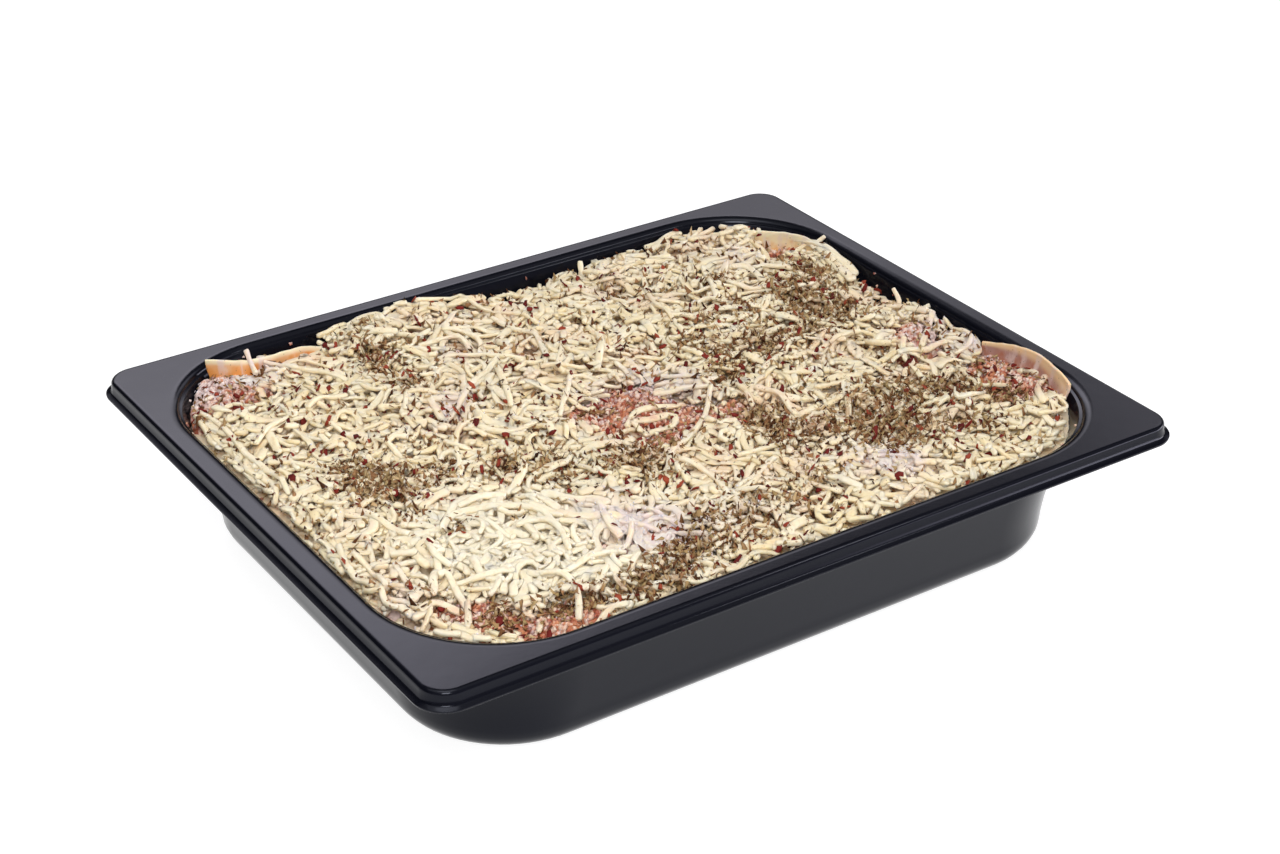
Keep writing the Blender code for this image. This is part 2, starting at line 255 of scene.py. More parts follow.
def extrudeEdges(bm, edges, known):  # also gives each new point what is known of the point that it grew from
    grown = bmesh.ops.extrude_edge_only(bm, edges=edges)["geom"]
    following = {}
    for vert in grown:
        if isinstance(vert, bmesh.types.BMVert):
            others = [edge.other_vert(vert) for edge in vert.link_edges]
            following[vert] = next(known[other] for other in others if other in known)
    return [item for item in grown if isinstance(item, bmesh.types.BMEdge)], following


def thicken(piece, thickness, offset, even=False):  # offset -1 thickens to the inside, 0 to both sides
    sheet = piece.modifiers.new("Sheet", "SOLIDIFY")
    sheet.thickness = thickness
    sheet.offset = offset
    sheet.use_even_offset = even


def soften(piece, width, segments, degrees):  # rounds the edges that are sharper than an angle
    edge = piece.modifiers.new("Edge", "BEVEL")
    edge.width = width
    edge.segments = segments
    edge.limit_method = "ANGLE"
    edge.angle_limit = math.radians(degrees)


# Tray: the same outline and wall as the solid, with finer turns and the small step inside its opening.
trayShape = {
    "sheet": 0.0009,
    "lipDrop": 0.0057,
    "lipCorner": 0.0125,
    "lipTurn": 0.0006,
    "lipTurnRise": 0.0003,
    "skirtFootRise": 0.0009,
    "skirtInset": 0.0023,
    "shoulderInset": 0.0041,
    "shoulderRadius": 0.0017,
    "openingInset": 0.0088,
    "openingCorner": 0.053,
    "edgeRoll": 0.0036,
    "edgeDrop": 0.0018,
    "hold": 0.0004,  # rings this near each turn keep the rim flat between them
    "stepInset": 0.0129,
    "stepDrop": 0.00195,
    "wallTopInset": 0.0132,
    "wallTopDrop": 0.0026,
    "wallTopCorner": 0.051,
    "wallFootInset": 0.0240,
    "wallFootCorner": 0.0425,
    "wallSweep": 0.85,
    "floorFillet": 0.0095,
    "cornerSteps": 18,
    "rollSteps": 6,
    "wallSteps": 12,
    "filletSteps": 6,
    "trimBevel": 0.00012,
    "trimSegments": 2,
    "trimAngle": 50,
}
wallTop = rim - trayShape["wallTopDrop"]
wallFoot = trayShape["sheet"] + trayShape["floorFillet"]


def wallAt(share):  # inset and corner radius of the wall's inner face, a share of the way down
    t = trayShape
    inset = t["wallTopInset"] + (t["wallFootInset"] - t["wallTopInset"]) * share ** t["wallSweep"]
    corner = t["wallFootCorner"] + (t["wallTopCorner"] - t["wallFootCorner"]) * (1 - share**3)
    return inset, corner


def wallAtHeight(z, margin):  # the same at a height or an array of heights, a margin inside the wall
    fillet = trayShape["floorFillet"] - margin
    inset, corner = wallAt(np.clip((wallTop - z) / (wallTop - wallFoot), 0.0, 1.0))
    fall = np.clip((wallFoot - z) / fillet, 0.0, 1.0)
    run = fillet * (1 - np.sqrt(1 - fall**2)) + margin
    return inset + run, corner - run


def trayProfile():  # inset, corner radius and height of each ring, from the trimmed lip to the floor
    t = trayShape
    lip = rim - t["lipDrop"]
    corner = t["lipCorner"] - t["skirtInset"]
    yield 0.0, t["lipCorner"], lip
    yield t["skirtInset"] - t["lipTurn"], corner + t["lipTurn"], lip + t["lipTurnRise"]
    yield t["skirtInset"], corner, lip + t["skirtFootRise"]
    for step in range(t["rollSteps"] + 1):
        turn = math.pi / 2 * step / t["rollSteps"]
        inset = t["shoulderInset"] - t["shoulderRadius"] * math.cos(turn)
        yield inset, t["lipCorner"] - inset, rim - t["shoulderRadius"] * (1 - math.sin(turn))
    yield t["shoulderInset"] + t["hold"], t["lipCorner"] - t["shoulderInset"] - t["hold"], rim
    yield t["openingInset"] - t["hold"], t["openingCorner"] + t["hold"], rim
    for step in range(t["rollSteps"] + 1):
        turn = math.pi / 2 * step / t["rollSteps"]
        run = t["edgeRoll"] * math.sin(turn)
        yield t["openingInset"] + run, t["openingCorner"] - run, rim - t["edgeDrop"] * (1 - math.cos(turn))
    yield t["stepInset"], t["wallTopCorner"], rim - t["stepDrop"]
    for step in range(t["wallSteps"] + 1):
        share = step / t["wallSteps"]
        yield *wallAt(share), wallTop + (wallFoot - wallTop) * share
    inset, corner = wallAt(1.0)
    for step in range(1, t["filletSteps"] + 1):
        turn = math.pi / 2 * step / t["filletSteps"]
        run = t["floorFillet"] * (1 - math.cos(turn))
        yield inset + run, corner - run, wallTop + (wallFoot - wallTop) - t["floorFillet"] * math.sin(turn)


def ringPoint(index, inset, corner, z):  # one point of a rounded rectangle, the same number in each quarter
    steps = trayShape["cornerSteps"]
    quarter, step = divmod(index, steps + 1)
    sideX, sideY = ((1, 1), (-1, 1), (-1, -1), (1, -1))[quarter]
    turn = math.pi / 2 * (quarter + step / steps)
    x = sideX * (halfLength - inset - corner) + corner * math.cos(turn)
    y = sideY * (halfWidth - inset - corner) + corner * math.sin(turn)
    return Vector((x, y, z))


def extrudeRings(bm, ring, sections):  # draws a ring of points out through each section in turn
    for point, vert in enumerate(ring):
        vert.co = ringPoint(point, *sections[0])
    places = {vert: point for point, vert in enumerate(ring)}
    edges = list({edge for vert in ring for edge in vert.link_edges})
    for section in sections[1:]:
        edges, places = extrudeEdges(bm, edges, places)
        for vert, point in places.items():
            vert.co = ringPoint(point, *section)
    return edges


def makeTray(finish):
    bm = bmesh.new()
    ring = bmesh.ops.create_circle(bm, segments=4 * (trayShape["cornerSteps"] + 1), radius=1.0)["verts"]
    last = extrudeRings(bm, ring, list(trayProfile()))
    bmesh.ops.edgeloop_fill(bm, edges=last)
    bmesh.ops.recalc_face_normals(bm, faces=bm.faces)
    if sum(face.normal.z * face.calc_area() for face in bm.faces) < 0:
        bmesh.ops.reverse_faces(bm, faces=bm.faces)
    tray = placed(meshFrom(bm, "trayShell"), "trayShell", finish, ["tray"])
    thicken(tray, trayShape["sheet"], -1.0, even=True)
    soften(tray, trayShape["trimBevel"], trayShape["trimSegments"], trayShape["trimAngle"])


# Food: the same mounds, dips and patches as the solid has.
food = {
    "level": rim - 0.0088,
    "lowest": rim - 0.0150,
    "lumps": ((55.0, 0.0, 0.0018),),  # scale, level and strength of layers of smooth noise
    "rough": ((260.0, 3.0, 1.0), (620.0, 8.0, 0.6)),
    "ragged": ((120.0, 5.0, 1.0), (300.0, 6.0, 0.5)),
    "gap": 0.0002,
    "weld": 0.00001,
    "mounds": (  # x, y, reach and rise, in millimetres
        (-128, 94, 30, 5.5), (-40, 114, 30, 6.2), (6, 114, 16, -1.5), (70, 112, 22, 2.6),
        (118, 98, 26, 4.5), (146, 62, 22, 3), (146, 26, 16, -2.5), (146, -20, 28, 4), (142, -82, 26, 5.5),
        (20, 12, 30, 1.4), (-88, -70, 34, 1.8), (-40, 48, 36, 1.6), (52, -88, 26, 1.8), (-132, 10, 30, 2.2),
        (70, 40, 26, 1), (-62, -26, 26, -2.4), (72, -40, 30, -2.8), (-20, -50, 22, -1.6),
        (127.5, 83.5, 10, -5.8),
    ),
    "patches": (  # x, y, half length, half width and turn in degrees of each bare patch of sauce
        (-0.124, 0.092, 0.021, 0.013, 28.0), (0.004, -0.002, 0.026, 0.011, -20.0),
        (0.126, -0.020, 0.018, 0.010, 60.0), (0.128, -0.070, 0.014, 0.009, 40.0),
        (-0.112, -0.100, 0.024, 0.008, -38.0), (-0.046, -0.082, 0.020, 0.009, -25.0),
        (0.052, -0.088, 0.014, 0.008, -20.0),
    ),
    "patchReach": 1.25,
    "patchEdge": 0.4,
    "sauceFrom": {"patch": 0.6, "spot": 0.9, "ragged": 0.40},
    "bed": {"drop": 0.0017, "rough": 0.0012, "ragged": 0.0009, "underSauce": 0.0044, "depth": 0.0016},
    "sauce": {"drop": 0.0029, "rough": 0.0007, "rise": 0.0054, "rings": 14},
    "cells": {"filling": 0.0016, "map": 0.0015, "bed": 0.0013, "sauce": 0.0012, "fine": 0.0009},
}

# Where things gather: across and down in the photo's pixels, reach in millimetres, and strength.
herbSpots = (
    (717, 291, 6, 0.9), (809, 285, 9, 1.2), (818, 313, 13, 1.2), (839, 323, 9, 0.9), (705, 329, 7, 1.1),
    (706, 357, 7, 1.0), (760, 353, 13, 1.1), (736, 320, 7, 0.8), (806, 336, 10, 0.7), (667, 300, 7, 0.5),
    (785, 300, 10, 0.7), (690, 354, 6, 0.8), (373, 364, 8, 1.2), (383, 380, 7, 1.2), (414, 396, 7, 1.0),
    (365, 343, 6, 0.6), (770, 432, 9, 1.3), (788, 442, 10, 1.3), (757, 417, 6, 1.0), (647, 469, 9, 1.0),
    (725, 381, 10, 0.8), (505, 469, 8, 0.9), (551, 467, 7, 0.6), (840, 430, 14, 1.1), (889, 432, 13, 1.2),
    (923, 399, 10, 1.1), (952, 393, 8, 1.1), (978, 404, 7, 0.8), (1007, 407, 6, 0.8), (870, 402, 12, 0.9),
    (910, 440, 12, 0.8), (960, 430, 9, 0.7), (381, 501, 10, 1.3), (362, 491, 8, 1.0), (400, 496, 8, 1.1),
    (384, 484, 8, 1.0), (345, 488, 7, 0.8), (358, 472, 6, 0.6), (418, 526, 6, 0.6), (462, 535, 6, 0.7),
    (666, 586, 10, 1.3), (638, 596, 8, 1.1), (684, 558, 9, 1.1), (519, 526, 4, 0.6), (720, 540, 14, 0.7),
    (800, 500, 14, 0.5), (745, 520, 10, 0.6), (440, 480, 10, 0.7), (430, 610, 7, 0.8), (505, 624, 8, 0.8),
    (560, 612, 7, 0.8), (598, 602, 7, 0.8), (620, 300, 12, 0.4), (1000, 440, 8, 0.5), (600, 470, 12, 0.4),
    (560, 480, 10, 0.4),
)
frostSpots = (
    (198, 409, 10, 1.2), (255, 388, 10, 1.2), (273, 369, 10, 0.9), (219, 376, 7, 0.7), (640, 385, 9, 1.0),
    (684, 393, 10, 1.1), (590, 400, 8, 0.5), (638, 527, 13, 1.2), (652, 543, 12, 1.0),
    (690, 540, 12, 0.8), (880, 468, 13, 1.0), (905, 474, 10, 0.8), (969, 359, 7, 1.2), (944, 331, 9, 1.1),
    (1018, 362, 8, 0.7), (455, 412, 11, 0.8), (462, 366, 8, 0.6), (400, 610, 8, 0.7), (745, 520, 10, 0.6),
    (930, 345, 9, 0.7), (1045, 390, 6, 0.6), (600, 520, 8, 0.6), (620, 280, 12, 0.3), (735, 270, 10, 0.7),
)
sauceSpots = (
    (216, 388, 10, 1.3), (238, 404, 10, 1.2), (289, 371, 6, 0.9), (293, 356, 6, 1.0), (221, 409, 5, 0.9),
    (612, 413, 13, 1.2), (657, 448, 12, 1.1), (684, 430, 10, 1.1), (735, 416, 13, 1.3),
    (578, 424, 9, 1.0), (611, 436, 5, 0.9), (640, 398, 11, 1.0), (449, 420, 10, 1.1), (463, 362, 8, 1.1),
    (526, 363, 7, 1.1), (407, 344, 5, 0.7), (453, 303, 4, 1.0), (489, 314, 4, 1.0), (446, 612, 7, 1.2),
    (487, 616, 8, 1.2), (558, 619, 8, 1.3), (597, 611, 7, 1.2), (400, 608, 6, 0.8), (659, 532, 6, 0.6),
    (914, 337, 10, 1.1), (909, 353, 5, 1.0), (995, 375, 13, 1.3), (1027, 399, 12, 1.5),
    (262, 361, 7, 1.2), (246, 366, 7, 1.2), (300, 355, 6, 1.0), (778, 257, 8.5, 1.7), (957, 341, 5, 0.9),
    (1010, 362, 9, 1.0), (1030, 366, 6, 0.9), (839, 293, 5, 0.9), (809, 286, 5, 0.8), (1002, 388, 6, 0.9),
    (703, 470, 5, 0.6), (700, 520, 6, 0.6),
)
paleSpots = (
    (540, 560, 40, 1.1), (480, 540, 22, 0.7), (600, 575, 20, 0.7), (700, 515, 14, 0.5),
)


def onTray(spots):  # spots of the photo as x, y, reach and strength on the food, in metres
    places = [photoPlace(across, down, food["level"]) for across, down, reach, strength in spots]
    return [(*place, reach / 1000, strength) for place, (*_, reach, strength) in zip(places, spots)]


def spotSum(spots, x, y):
    total = 0
    for spotX, spotY, reach, strength in spots:
        total = total + strength * np.exp(-((x - spotX) ** 2 + (y - spotY) ** 2) / reach**2)
    return total


def speckle(x, y, layers):  # smooth noise at each place of two arrays
    total = 0
    for scale, level, strength in layers:
        places = zip(np.ravel(x), np.ravel(y))
        flat = [noise.noise(Vector((px * scale, py * scale, level))) for px, py in places]
        total = total + strength * np.array(flat).reshape(np.shape(x))
    return total


class Field:  # numbers on a square grid over the tray, read at any place between
    def __init__(self, cell, rule):
        self.cell = cell
        self.x = np.arange(-halfLength, halfLength + cell, cell)
        self.y = np.arange(-halfWidth, halfWidth + cell, cell)
        self.values = rule(*np.meshgrid(self.x, self.y, indexing="ij"))

    def at(self, x, y):
        u = np.clip((x - self.x[0]) / self.cell, 0, len(self.x) - 1.001)
        v = np.clip((y - self.y[0]) / self.cell, 0, len(self.y) - 1.001)
        i = u.astype(int)
        j = v.astype(int)
        u = u - i
        v = v - j
        near = self.values[i, j] * (1 - u) + self.values[i + 1, j] * u
        far = self.values[i, j + 1] * (1 - u) + self.values[i + 1, j + 1] * u
        return near * (1 - v) + far * v

    def cover(self, x, y, z):  # raises the grid to something laid on it
        i = np.clip(np.rint((x - self.x[0]) / self.cell).astype(int), 0, len(self.x) - 1)
        j = np.clip(np.rint((y - self.y[0]) / self.cell).astype(int), 0, len(self.y) - 1)
        np.maximum.at(self.values, (i, j), z)


def foodTop(x, y):
    mounds = [[value / 1000 for value in mound] for mound in food["mounds"]]
    height = food["level"] + spotSum(mounds, x, y) + speckle(x, y, food["lumps"])
    return np.maximum(height, food["lowest"])


def patchShare(x, y):  # 1 in the middle of a bare patch of sauce, 0 outside
    most = np.zeros(np.shape(x))
    for px, py, length, width, degrees in food["patches"]:
        turn = math.radians(degrees)
        along = (x - px) * math.cos(turn) + (y - py) * math.sin(turn)
        across = (y - py) * math.cos(turn) - (x - px) * math.sin(turn)
        most = np.maximum(most, food["patchReach"] - np.hypot(along / length, across / width))
    return np.clip(most / food["patchEdge"], 0.0, 1.0)


def spotField(spots):
    here = onTray(spots)
    return Field(food["cells"]["map"], lambda x, y: spotSum(here, x, y))


topField = Field(food["cells"]["map"], foodTop)
roughField = Field(food["cells"]["fine"], lambda x, y: speckle(x, y, food["rough"]))
ragField = Field(food["cells"]["map"], lambda x, y: speckle(x, y, food["ragged"]))
herbField = spotField(herbSpots)
frostField = spotField(frostSpots)
paleField = spotField(paleSpots)
sauceHere = onTray(sauceSpots)


def sauceShare(x, y):  # how much of the sauce shows, with ragged limits
    share = food["sauceFrom"]
    spots = share["patch"] * patchShare(x, y) + share["spot"] * spotSum(sauceHere, x, y)
    return np.clip(spots + share["ragged"] * ragField.at(x, y), 0.0, 1.0)


sauceField = Field(food["cells"]["sauce"], sauceShare)


def bedTop(x, y):
    bed = food["bed"]
    ragged = bed["rough"] * roughField.at(x, y) + bed["ragged"] * ragField.at(x, y)
    return topField.at(x, y) - bed["drop"] + ragged - bed["underSauce"] * sauceField.at(x, y)


def sauceTop(x, y):
    sauce = food["sauce"]
    under = topField.at(x, y) - food["bed"]["drop"] - sauce["drop"]
    return under + sauce["rough"] * roughField.at(x, y) + sauce["rise"] * sauceField.at(x, y)


def pastCorner(x, y, z, margin):  # where the wall's corners begin, how far places are past that, and radius
    inset, corner = wallAtHeight(z, margin)
    starts = halfLength - inset - corner, halfWidth - inset - corner
    return starts, [np.maximum(np.abs(side) - start, 0.0) for side, start in zip((x, y), starts)], corner


def insideBy(x, y, z, margin):  # how far places are inside the wall at their height, less than 0 when outside
    _, past, corner = pastCorner(x, y, z, margin)
    return corner - np.hypot(*past)


def toWall(x, y, z, margin):  # moves places outside the wall back to it
    starts, past, corner = pastCorner(x, y, z, margin)
    share = np.minimum(corner / np.maximum(np.hypot(*past), tiny), 1.0)
    return [
        np.where(np.abs(side) > start, np.sign(side) * (start + over * share), side)
        for side, start, over in zip((x, y), starts, past)
    ]


def makeLayer(name, rule, cell, depth, rings, finish, replaced):
    # A closed layer whose top follows a rule and whose sides follow the wall.
    bm = bmesh.new()
    across = round(2 * halfLength / cell)
    deep = round(2 * halfWidth / cell)
    bmesh.ops.create_grid(bm, x_segments=across, y_segments=deep, size=0.5)
    bmesh.ops.scale(bm, vec=(2 * halfLength, 2 * halfWidth, 1.0), verts=bm.verts)
    x, y = flatPlaces(bm.verts)
    z = rule(x, y)
    inside = insideBy(x, y, z, food["gap"])
    x, y = toWall(x, y, z, food["gap"])
    z = rule(x, y)
    for vert, px, py, pz in zip(bm.verts, x, y, z):
        vert.co = (px, py, pz)
    lost = {vert for vert, room in zip(list(bm.verts), inside) if room < 0}
    outside = [face for face in bm.faces if all(vert in lost for vert in face.verts)]
    bmesh.ops.delete(bm, geom=outside, context="FACES")
    loose = [vert for vert in bm.verts if not vert.link_faces]
    bmesh.ops.delete(bm, geom=loose, context="VERTS")
    bmesh.ops.dissolve_degenerate(bm, dist=food["weld"], edges=bm.edges)
    edges = [edge for edge in bm.edges if edge.is_boundary]
    bottom = trayShape["sheet"] + food["gap"]
    for ring in range(rings):
        grown = bmesh.ops.extrude_edge_only(bm, edges=edges)["geom"]
        edges = [item for item in grown if isinstance(item, bmesh.types.BMEdge)]
        lower = [item for item in grown if isinstance(item, bmesh.types.BMVert)]
        z = np.array([vert.co.z for vert in lower])
        z = np.maximum(z - depth / rings, bottom) if depth else z + (bottom - z) / (rings - ring)
        x, y = toWall(*flatPlaces(lower), z, food["gap"])
        for vert, px, py, pz in zip(lower, x, y, z):
            vert.co = (px, py, pz)
    bmesh.ops.edgeloop_fill(bm, edges=edges)
    bmesh.ops.recalc_face_normals(bm, faces=bm.faces)
    mesh = meshFrom(bm, name)
    giveMaps(mesh, 0.5)
    placed(mesh, name, finish, [replaced])


maps = {"herb": herbField, "frost": frostField, "sauce": sauceField, "pale": paleField}


def giveMaps(mesh, tints):  # what a finish reads: a tint, and how much there is of what gathers near
    giveAttribute(mesh, "tint", tints)
    x, y, _ = pointsOf(mesh).T
    for name, field in maps.items():
        giveAttribute(mesh, name, field.at(x, y))


# Cheese: strips of four kinds, dropped one by one on a growing pile. The count is the most that are laid,
# and the skips say how readily a strip leaves bare sauce or mats of herbs free.
strips = {
    "curledShreds": {
        "count": 600, "steps": 16, "sides": 8, "blunt": ((0.0, 0.60), (0.012, 0.90), (0.035, 1.0)),
        "length": (0.020, 0.050), "width": (0.0018, 0.0027), "thickness": (0.0012, 0.0018),
        "bend": 2.4, "wave": 1.0, "hook": 1.0, "lift": 0.0030, "bareSkip": 2.4, "matSkip": 1.5,
    },
    "longShreds": {
        "count": 860, "steps": 12, "sides": 8, "blunt": ((0.0, 0.60), (0.014, 0.90), (0.040, 1.0)),
        "length": (0.014, 0.040), "width": (0.0019, 0.0038), "thickness": (0.0012, 0.0020),
        "bend": 1.2, "wave": 0.45, "hook": 0.3, "lift": 0.0022, "bareSkip": 2.4, "matSkip": 1.5,
    },
    "shortShreds": {
        "count": 1950, "steps": 5, "sides": 8, "blunt": ((0.0, 0.66), (0.08, 1.0)),
        "length": (0.006, 0.016), "width": (0.0017, 0.0036), "thickness": (0.0012, 0.0021),
        "bend": 0.9, "wave": 0.3, "hook": 0.1, "lift": 0.0014, "bareSkip": 1.5, "matSkip": 0.75,
    },
    "cheeseCrumbs": {
        "count": 3450, "steps": 3, "sides": 6, "blunt": ((0.0, 0.64), (0.22, 1.0)),
        "length": (0.0020, 0.0060), "width": (0.0012, 0.0030), "thickness": (0.0010, 0.0021),
        "bend": 0.4, "wave": 0.1, "hook": 0.0, "lift": 0.0004, "bareSkip": 0.86, "matSkip": 0.2,
    },
}
pileRules = {
    "cell": 0.0006,
    "over": 0.0011,  # how far over the solid's top the pile may rise before more is dropped elsewhere
    "sink": 0.36,  # share of its thickness that a strip is pressed in
    "slack": 42.0,  # how sharply a strip bends over what lies under it
    "smoothing": 5,
    "feelers": (-0.32, 0.0, 0.32),  # shares of its width at which a strip feels the pile
    "crowns": (-0.4, -0.2, 0.0, 0.2, 0.4),  # and at which it is added to the pile
    "lift": 4,  # powers of the draw and of the run towards the end that lifts
    "tip": 3,
    "sampleStep": 0.0009,
    "leastSteps": 4,
    "wallClear": 0.0012,
    "bareFrom": 0.5,  # share of sauce from which a place counts as bare
    "waves": (0.6, 1.4),
    "hooks": (0.0, 0.0, 0.0, 1.0, -1.0, 0.5, -0.6),
    "hookFrom": 0.7,
    "hookTurn": 8,
    "roll": (-0.4, 0.4),
    "twist": 0.5,
    "swell": 0.11,
    "swellRuns": (4, 11),
    "swellStart": (0, 6),
    "tries": 60000,
    "matFrom": 0.95,  # strength of herbs from which a place counts as matted with them
    "squareness": 0.62,
    "buriedFrom": 0.0009,  # depth under the pile's top from which a strip gets painted shade
    "buriedRun": 0.0030,  # and over which the painted shade grows
}
chosenLook = {
    "width": (0.0020, 0.0030),
    "wider": {"bands": (0.0038, 0.0044)},
    "thickness": 0.0017,
    "steps": 6,
    "tint": 0.4,
}
chosenShreds = {  # the shreds that stand out in the photo: across and down in its pixels, point by point
    "bands": (
        (803, 241, 812, 254, 823, 268, 838, 281, 852, 293), (812, 240, 830, 255, 847, 269, 862, 282),
    ),
    "centre": (
        (641, 440, 633, 428, 652, 426, 672, 422, 675, 431, 660, 435, 644, 440),
        (627, 436, 635, 420, 662, 415, 686, 411), (653, 402, 680, 400, 711, 399),
        (711, 399, 703, 426, 686, 448, 671, 466, 668, 480), (745, 403, 754, 414, 767, 427),
        (755, 397, 776, 404, 797, 421), (676, 470, 704, 480, 718, 488, 729, 502),
        (538, 437, 517, 431, 514, 422, 524, 415, 540, 414), (560, 427, 568, 402, 570, 391),
        (597, 382, 602, 361, 598, 345), (557, 384, 562, 365, 564, 343),
        (520, 357, 536, 350, 545, 362, 546, 378), (655, 361, 650, 351, 664, 349, 680, 360, 702, 369),
        (541, 383, 568, 383, 600, 378),
    ),
    "frontRight": (
        (706, 539, 693, 524, 691, 512, 698, 505, 706, 509),
        (586, 509, 599, 513, 604, 528, 610, 540, 621, 548), (737, 501, 766, 503, 799, 509),
        (724, 471, 751, 461, 787, 454), (736, 497, 762, 479, 774, 470),
    ),
    "paleHeap": (
        (442, 542, 450, 528, 468, 519, 514, 517, 547, 526, 561, 549),
        (516, 537, 542, 532, 561, 546, 570, 565), (527, 586, 558, 590, 588, 577, 610, 572),
        (456, 592, 487, 590, 516, 585), (540, 590, 565, 592, 578, 607, 579, 626),
        (439, 590, 447, 587, 456, 598, 462, 608, 467, 619), (420, 625, 436, 617, 463, 620),
        (468, 612, 469, 637), (428, 557, 436, 572, 451, 581), (404, 538, 411, 522, 420, 513, 433, 507),
        (458, 515, 487, 507, 506, 504),
    ),
    "leftSide": (
        (339, 555, 346, 572, 356, 586, 375, 599), (354, 565, 370, 579, 387, 604),
        (357, 523, 381, 534, 409, 546), (200, 425, 229, 447, 259, 476, 281, 494, 290, 508),
        (257, 459, 273, 443, 297, 433), (269, 474, 297, 476, 316, 480, 338, 488),
        (324, 433, 348, 445, 370, 453), (376, 451, 390, 458, 403, 468),
        (368, 389, 393, 391, 406, 405, 406, 424), (265, 377, 308, 383, 348, 395),
        (308, 423, 324, 413, 348, 408), (251, 352, 257, 363, 263, 376),
        (441, 472, 443, 465, 453, 463, 460, 474, 449, 484),
    ),
    "leftMiddle": (
        (396, 309, 430, 314, 453, 309, 472, 318, 491, 326, 516, 326, 539, 335),
        (488, 328, 510, 339, 535, 349, 547, 372), (419, 360, 442, 356, 461, 355, 472, 364),
        (443, 349, 464, 349, 480, 356, 480, 367), (438, 372, 472, 369, 526, 372),
        (499, 372, 472, 399, 463, 412, 445, 437), (428, 406, 434, 418, 447, 437),
        (478, 437, 503, 443, 530, 439, 545, 433, 554, 446), (497, 380, 505, 399, 512, 420),
        (386, 309, 387, 322),
    ),
    "back": (
        (640, 255, 660, 245, 681, 251), (726, 278, 725, 291, 743, 299, 766, 299, 789, 293),
        (731, 281, 749, 281, 763, 293), (703, 280, 710, 296, 718, 316),
        (643, 291, 653, 313, 673, 334, 688, 351), (685, 319, 706, 314, 723, 318),
        (826, 288, 806, 299, 786, 305), (802, 313, 822, 311, 832, 323, 827, 334),
        (839, 301, 850, 314, 852, 331), (819, 358, 836, 348, 860, 343), (763, 379, 781, 363, 791, 349),
    ),
    "right": (
        (906, 313, 929, 307), (938, 308, 931, 331, 921, 356), (880, 314, 903, 320, 926, 327),
        (897, 368, 926, 360, 946, 356), (953, 382, 972, 391, 1010, 400),
        (955, 406, 957, 417, 975, 412, 987, 403), (918, 432, 941, 421, 964, 423, 985, 435),
        (1048, 386, 1035, 375, 1018, 383), (1045, 392, 1036, 408, 1041, 423),
    ),
}


standingShreds = {  # those that stand up against the dark wall, as places in the photo and heights in metres
    "width": (0.0019, 0.0026),
    "thickness": 0.0014,
    "steps": 4,
    "tint": 0.3,
    "lines": (
        ((896, 313, 0.0500), (899, 301, 0.0545), (893, 288, 0.0590)),
        ((256, 374, 0.0560), (250, 361, 0.0595), (246, 350, 0.0620)),
        ((386, 326, 0.0520), (388, 316, 0.0550), (386, 307, 0.0580)),
        ((583, 279, 0.0510), (581, 270, 0.0540), (580, 261, 0.0570)),
        ((743, 242, 0.0535), (748, 236, 0.0555), (755, 231, 0.0575)),
        ((813, 248, 0.0530), (818, 242, 0.0550), (825, 236, 0.0570)),
        ((908, 318, 0.0500), (917, 312, 0.0525), (930, 305, 0.0550)),
    ),
}


def stripShape(kind):  # a blunt flattened bar along X from 0 to 1, to be bent
    bm = bmesh.new()
    bmesh.ops.create_circle(bm, cap_ends=True, segments=kind["sides"], radius=1.0)
    if kind["sides"] % 4 == 0:  # one side is up
        bmesh.ops.rotate(bm, matrix=Matrix.Rotation(math.pi / kind["sides"], 3, "Z"), verts=bm.verts)
    power = pileRules["squareness"]
    for vert in bm.verts:  # flatter faces than a round rod has
        vert.co.xy = [math.copysign(abs(side) ** power, side) for side in vert.co.xy]
    bmesh.ops.rotate(bm, matrix=Matrix.Rotation(math.pi / 2, 3, "Y"), verts=bm.verts)
    blunt = kind["blunt"]
    edge = blunt[-1][0]
    middle = kind["steps"] - 2 * (len(blunt) - 1)
    rings = [*blunt, *((edge + (1 - 2 * edge) * step / middle, 1.0) for step in range(1, middle))]
    rings += [(1 - station, width) for station, width in reversed(blunt)]
    station, width = rings[0]
    for vert in bm.verts:
        vert.co = Vector((station, vert.co.y * width, vert.co.z * width))
    end = list(bm.faces)
    for station, wider in rings[1:]:
        grown = bmesh.ops.extrude_face_region(bm, geom=end)["geom"]
        bmesh.ops.delete(bm, geom=end, context="FACES_ONLY")
        end = [item for item in grown if isinstance(item, bmesh.types.BMFace)]
        for vert in {vert for face in end for vert in face.verts}:
            vert.co = Vector((station, vert.co.y * wider / width, vert.co.z * wider / width))
        width = wider
    bmesh.ops.holes_fill(bm, edges=[edge for edge in bm.edges if edge.is_boundary])
    return shapeFrom(bm)


def stripPath(kind, x, y, length):  # a wandering line on the flat round a place: x, y and share of its points
    rules = pileRules
    count = max(rules["leastSteps"], round(length / rules["sampleStep"]))
    s = np.linspace(0.0, 1.0, count)
    turn = draw.uniform(0, 2 * math.pi) + draw.gauss(0.0, kind["bend"]) * (s - 0.5)
    height = draw.gauss(0.0, kind["wave"])
    turn = turn + height * np.sin(2 * math.pi * (s * draw.uniform(*rules["waves"]) + draw.random()))
    hook = draw.choice(rules["hooks"]) * kind["hook"]
    turn = turn + hook * np.clip(s - rules["hookFrom"], 0.0, 1.0) * rules["hookTurn"]
    step = length / (count - 1)
    px = np.concatenate([[0.0], np.cumsum(np.cos(turn[:-1])) * step])
    py = np.concatenate([[0.0], np.cumsum(np.sin(turn[:-1])) * step])
    return x + px - px.mean(), y + py - py.mean(), s


